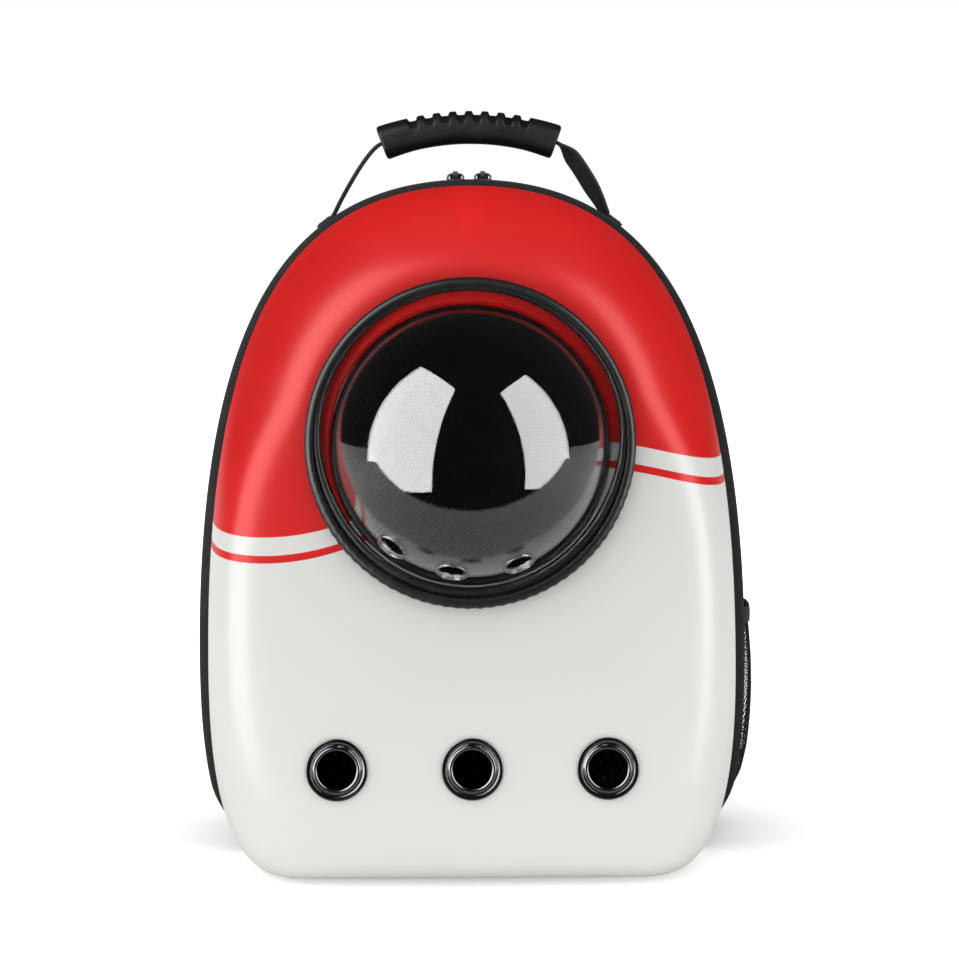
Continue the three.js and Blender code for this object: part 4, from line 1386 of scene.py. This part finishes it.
def webbing_route(side):
    route = coarse_pad_points(side)
    end = route[-1]
    along = (end - route[-2]).normalized()
    start = end + along * GAP
    straight = start + along * BUCKLE_DROP * 2
    foot = framed((side * STRAP_FOOT_SPAN / 2, BACK_FACE + WEBBING_THICKNESS / 2 + GAP,
                   WEBBING_FOOT_HEIGHT))
    tab = foot + Vector((0, 0, WEBBING_TAB))
    upper = [start.lerp(straight, share) for share in (0, 0.25, 0.5, 0.75)]
    lower = [straight.lerp(tab, share) for share in (0, 0.33, 0.67)]
    return [*upper, *lower, tab, foot]


def lower_webbing(name, side):
    route = spline(webbing_route(side), 6)
    rows = band_rows(route, Vector((1, 0, 0)), WEBBING_WIDTH, WEBBING_THICKNESS)
    web = skin(f"lower_webbing_{name}", rows, LOOKS["webbing"], caps=True)
    wear(web, replaces=[f"strap_webbing_{name}"])


def rounded_box(work, centre, axes, sizes):
    """Adds a box to a mesh in the making, about a centre and along three directions."""
    matrix = Matrix((
        (*(axes[0] * sizes[0]), 0), (*(axes[1] * sizes[1]), 0), (*(axes[2] * sizes[2]), 0),
        (0, 0, 0, 1),
    )).transposed()
    matrix.translation = centre
    bmesh.ops.create_cube(work, size=1, matrix=matrix)


def buckle(name, side):
    """Ladder-lock adjuster: two rails and three bars."""
    route = webbing_route(side)
    along = (route[3] - route[1]).normalized()
    across = (Vector((1, 0, 0)) - along * along.x).normalized()
    over = along.cross(across)
    centre = route[2]
    axes = (across, along, over)
    work = bmesh.new()
    for end in (-1, 1):
        middle = centre + across * end * (BUCKLE_WIDTH - BUCKLE_RAIL) / 2
        rounded_box(work, middle, axes, (BUCKLE_RAIL, BUCKLE_LENGTH, BUCKLE_THICKNESS))
    for reach, bar, height in BUCKLE_BARS:
        for layer in (-1, 1):
            middle = (centre + along * reach * BUCKLE_LENGTH
                      + over * layer * (WEBBING_THICKNESS / 2 + height / 4 + 0.15))
            rounded_box(work, middle, axes, (BUCKLE_WIDTH - 1, bar, height / 2))
    bmesh.ops.scale(work, vec=(MM, MM, MM), verts=work.verts)
    mesh = bpy.data.meshes.new(f"ladder_lock_{name}")
    work.to_mesh(mesh)
    work.free()
    mesh.materials.append(LOOKS["plastic"])
    made = bpy.data.objects.new(f"ladder_lock_{name}", mesh)
    bpy.context.scene.collection.objects.link(made)
    soften(made, 0.5)
    wear(made, replaces=[f"strap_buckle_{name}"])


def soften(piece, width):
    bevel = piece.modifiers.new("edges", "BEVEL")
    bevel.width = width * MM
    bevel.segments = 3
    bevel.limit_method = "ANGLE"
    bevel.harden_normals = False


# Zip sliders, and pull tabs that keep their frame shape with finer edges

def zip_slider(name, side):
    """Slider body with rounded ends under a low arched bridge."""
    floor = BAG_HEIGHT + (ZIP_PROUD + COIL_HEIGHT) * CROWN_PULL + GAP
    origin = framed((side * SLIDER_PITCH / 2, ZIP_FRONT + ZIP_WIDTH / 2, floor))
    half = SLIDER_LENGTH / 2
    rows = []
    for height, inset in SLIDER_ROWS:
        row = []
        for k in range(32):
            angle = 2 * math.pi * (k + 0.5) / 32
            x = squared(math.cos(angle), SLIDER_CORNERS) * (half - inset)
            y = squared(math.sin(angle), SLIDER_CORNERS) * (SLIDER_WIDTH / 2 - inset)
            row.append(origin + Vector((x, y, height)))
        rows.append(row)
    body = skin(f"slider_body_{name}", rows, LOOKS["metal"], caps=True)
    wear(body, replaces=[f"zip_slider_{name}"])
    rise = [(half - 0.7, SLIDER_THICKNESS - 0.6), (half - 0.7, BRIDGE_AXIS - 1.3),
            (half - 1.9, BRIDGE_AXIS)]
    arch = [(-x, z) for x, z in rise] + rise[::-1]
    line = spline([origin + Vector((x, 0, z)) for x, z in arch], 8)
    bridge = skin(f"slider_bridge_{name}", tube_rows(line, BRIDGE_BAR / 2, 12, Vector((0, 1, 0))),
                  LOOKS["metal"], caps=True)
    wear(bridge)


def zip_pull(piece):
    piece.data.materials.clear()
    piece.data.materials.append(LOOKS["metal"])
    soften(piece, 0.25)


# Stage

def floor():
    """White table with its near edge close in front of the bag, and far sides."""
    near, far, half = -450, 9000, 6000
    points = [(-half, near, 0), (half, near, 0), (half, far, 0), (-half, far, 0)]
    points += [(x, y, -30) for x, y, _ in points]
    faces = [(0, 1, 2, 3), (0, 1, 5, 4), (1, 2, 6, 5), (2, 3, 7, 6), (3, 0, 4, 7), (4, 5, 6, 7)]
    made, tree, shader = new_material("stage_floor")
    path = node(tree, "ShaderNodeLightPath").outputs
    seen = calc(tree, "MULTIPLY",
                ranged(tree, path["Is Glossy Ray"], 0, 1, 1, FLOOR_SEEN["in_gloss"]),
                ranged(tree, path["Is Diffuse Ray"], 0, 1, 1, FLOOR_SEEN["on_matt"]))
    white = mixed(tree, speckle(tree, 300, 2.0), (0.86, 0.86, 0.86, 1), (0.9, 0.9, 0.9, 1))
    tree.links.new(mixed(tree, seen, (0, 0, 0, 1), white), shader.inputs["Base Color"])
    settle(shader, {"Roughness": 0.9, "Emission Color": (1, 1, 1, 1)})
    place = node(tree, "ShaderNodeTexCoord").outputs["Object"]
    away = node(tree, "ShaderNodeVectorMath", {0: place}, operation="LENGTH").outputs["Value"]
    glow = ranged(tree, away, FLOOR_GLOWS["from"], FLOOR_GLOWS["to"],
                  FLOOR_GLOWS["near"], FLOOR_GLOWS["far"])
    tree.links.new(calc(tree, "MULTIPLY", glow, seen), shader.inputs["Emission Strength"])
    new_piece("stage_floor", points, faces, [made])


def aimed(made, place, target, roll):
    """Puts a light or a camera in its place, turned towards a target."""
    made.location = place
    made.rotation_mode = "QUATERNION"
    turned = (Vector(target) - Vector(place)).to_track_quat("-Z", "Y")
    made.rotation_quaternion = turned @ Quaternion((0, 0, 1), roll)
    bpy.context.scene.collection.objects.link(made)
    return made


def area_light(name, place, target, width, height, glow, roll, lights):
    """Rectangular light of an even glow. It lights only matt surfaces or only gloss."""
    light = bpy.data.lights.new(name, "AREA")
    light.shape = "RECTANGLE"
    light.size = width
    light.size_y = height
    light.energy = glow * math.pi * width * height
    made = aimed(bpy.data.objects.new(name, light), place, target, roll)
    made.visible_camera = False
    made.visible_glossy = lights != "matt"
    made.visible_transmission = lights != "matt"
    made.visible_diffuse = lights != "gloss"
    return made


def studio():
    for name, light in SOFTBOXES.items():
        place, target = light["place"], light["target"]
        width, height = light["size"]
        area_light(f"{name}_gloss", place, target, width, height, light["in_gloss"],
                   light["roll"], "gloss")
        area_light(f"{name}_matt", place, target, width, height, light["on_matt"],
                   light["roll"], "matt")
    area_light("overhead", (0, 0.2, 2.6), (0, 0, 0), 4.0, 3.4, OVERHEAD_GLOW, 0, "matt")
    world = bpy.data.worlds.new("studio")
    bpy.context.scene.world = world
    world.use_nodes = True
    tree = world.node_tree
    path = node(tree, "ShaderNodeLightPath")
    seen = calc(tree, "MULTIPLY", path.outputs["Is Camera Ray"], BACKDROP_GLOW - ROOM_GLOW)
    bounced = calc(tree, "MULTIPLY", path.outputs["Is Diffuse Ray"], FILL_GLOW - ROOM_GLOW)
    strength = calc(tree, "ADD", calc(tree, "ADD", seen, bounced), ROOM_GLOW)
    background = tree.nodes["Background"]
    background.inputs["Color"].default_value = (1, 1, 1, 1)
    tree.links.new(strength, background.inputs["Strength"])
    bpy.context.scene.view_settings.view_transform = "Standard"
    bpy.context.scene.view_settings.look = "None"


def camera():
    data = bpy.data.cameras.new("camera")
    data.sensor_width = 36
    data.lens = CAMERA_LENS
    data.dof.use_dof = False
    target = framed(CAMERA_TARGET) * MM
    back = Vector((0, -math.cos(CAMERA_RISE), math.sin(CAMERA_RISE)))
    place = target + back * (CAMERA_DISTANCE * MM / math.cos(CAMERA_RISE))
    made = bpy.data.objects.new("camera", data)
    bpy.context.scene.camera = aimed(made, place, target, CAMERA_ROLL)


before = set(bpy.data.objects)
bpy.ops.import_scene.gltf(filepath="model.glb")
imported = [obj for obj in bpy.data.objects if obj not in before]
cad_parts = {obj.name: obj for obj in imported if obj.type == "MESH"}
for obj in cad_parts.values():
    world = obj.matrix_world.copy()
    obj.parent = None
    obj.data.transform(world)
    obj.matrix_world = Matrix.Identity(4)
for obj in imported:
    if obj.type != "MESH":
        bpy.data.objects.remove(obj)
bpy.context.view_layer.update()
camera()
studio()
floor()
front_shell()
window()
bead()
for place in range(len(EYELET_NAMES)):
    eyelet(place)
edge_welt()
zip_tapes()
zip_coil()
back_panel()
net_pocket()
pocket_hem()
pocket_binding()
gusset()
grip()
handle_strap()
for label, hand in (("left", -1), ("right", 1)):
    zip_slider(label, hand)
    zip_pull(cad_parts[f"zip_pull_{label}"])
    shoulder_strap(label, hand)
    lower_webbing(label, hand)
    buckle(label, hand)
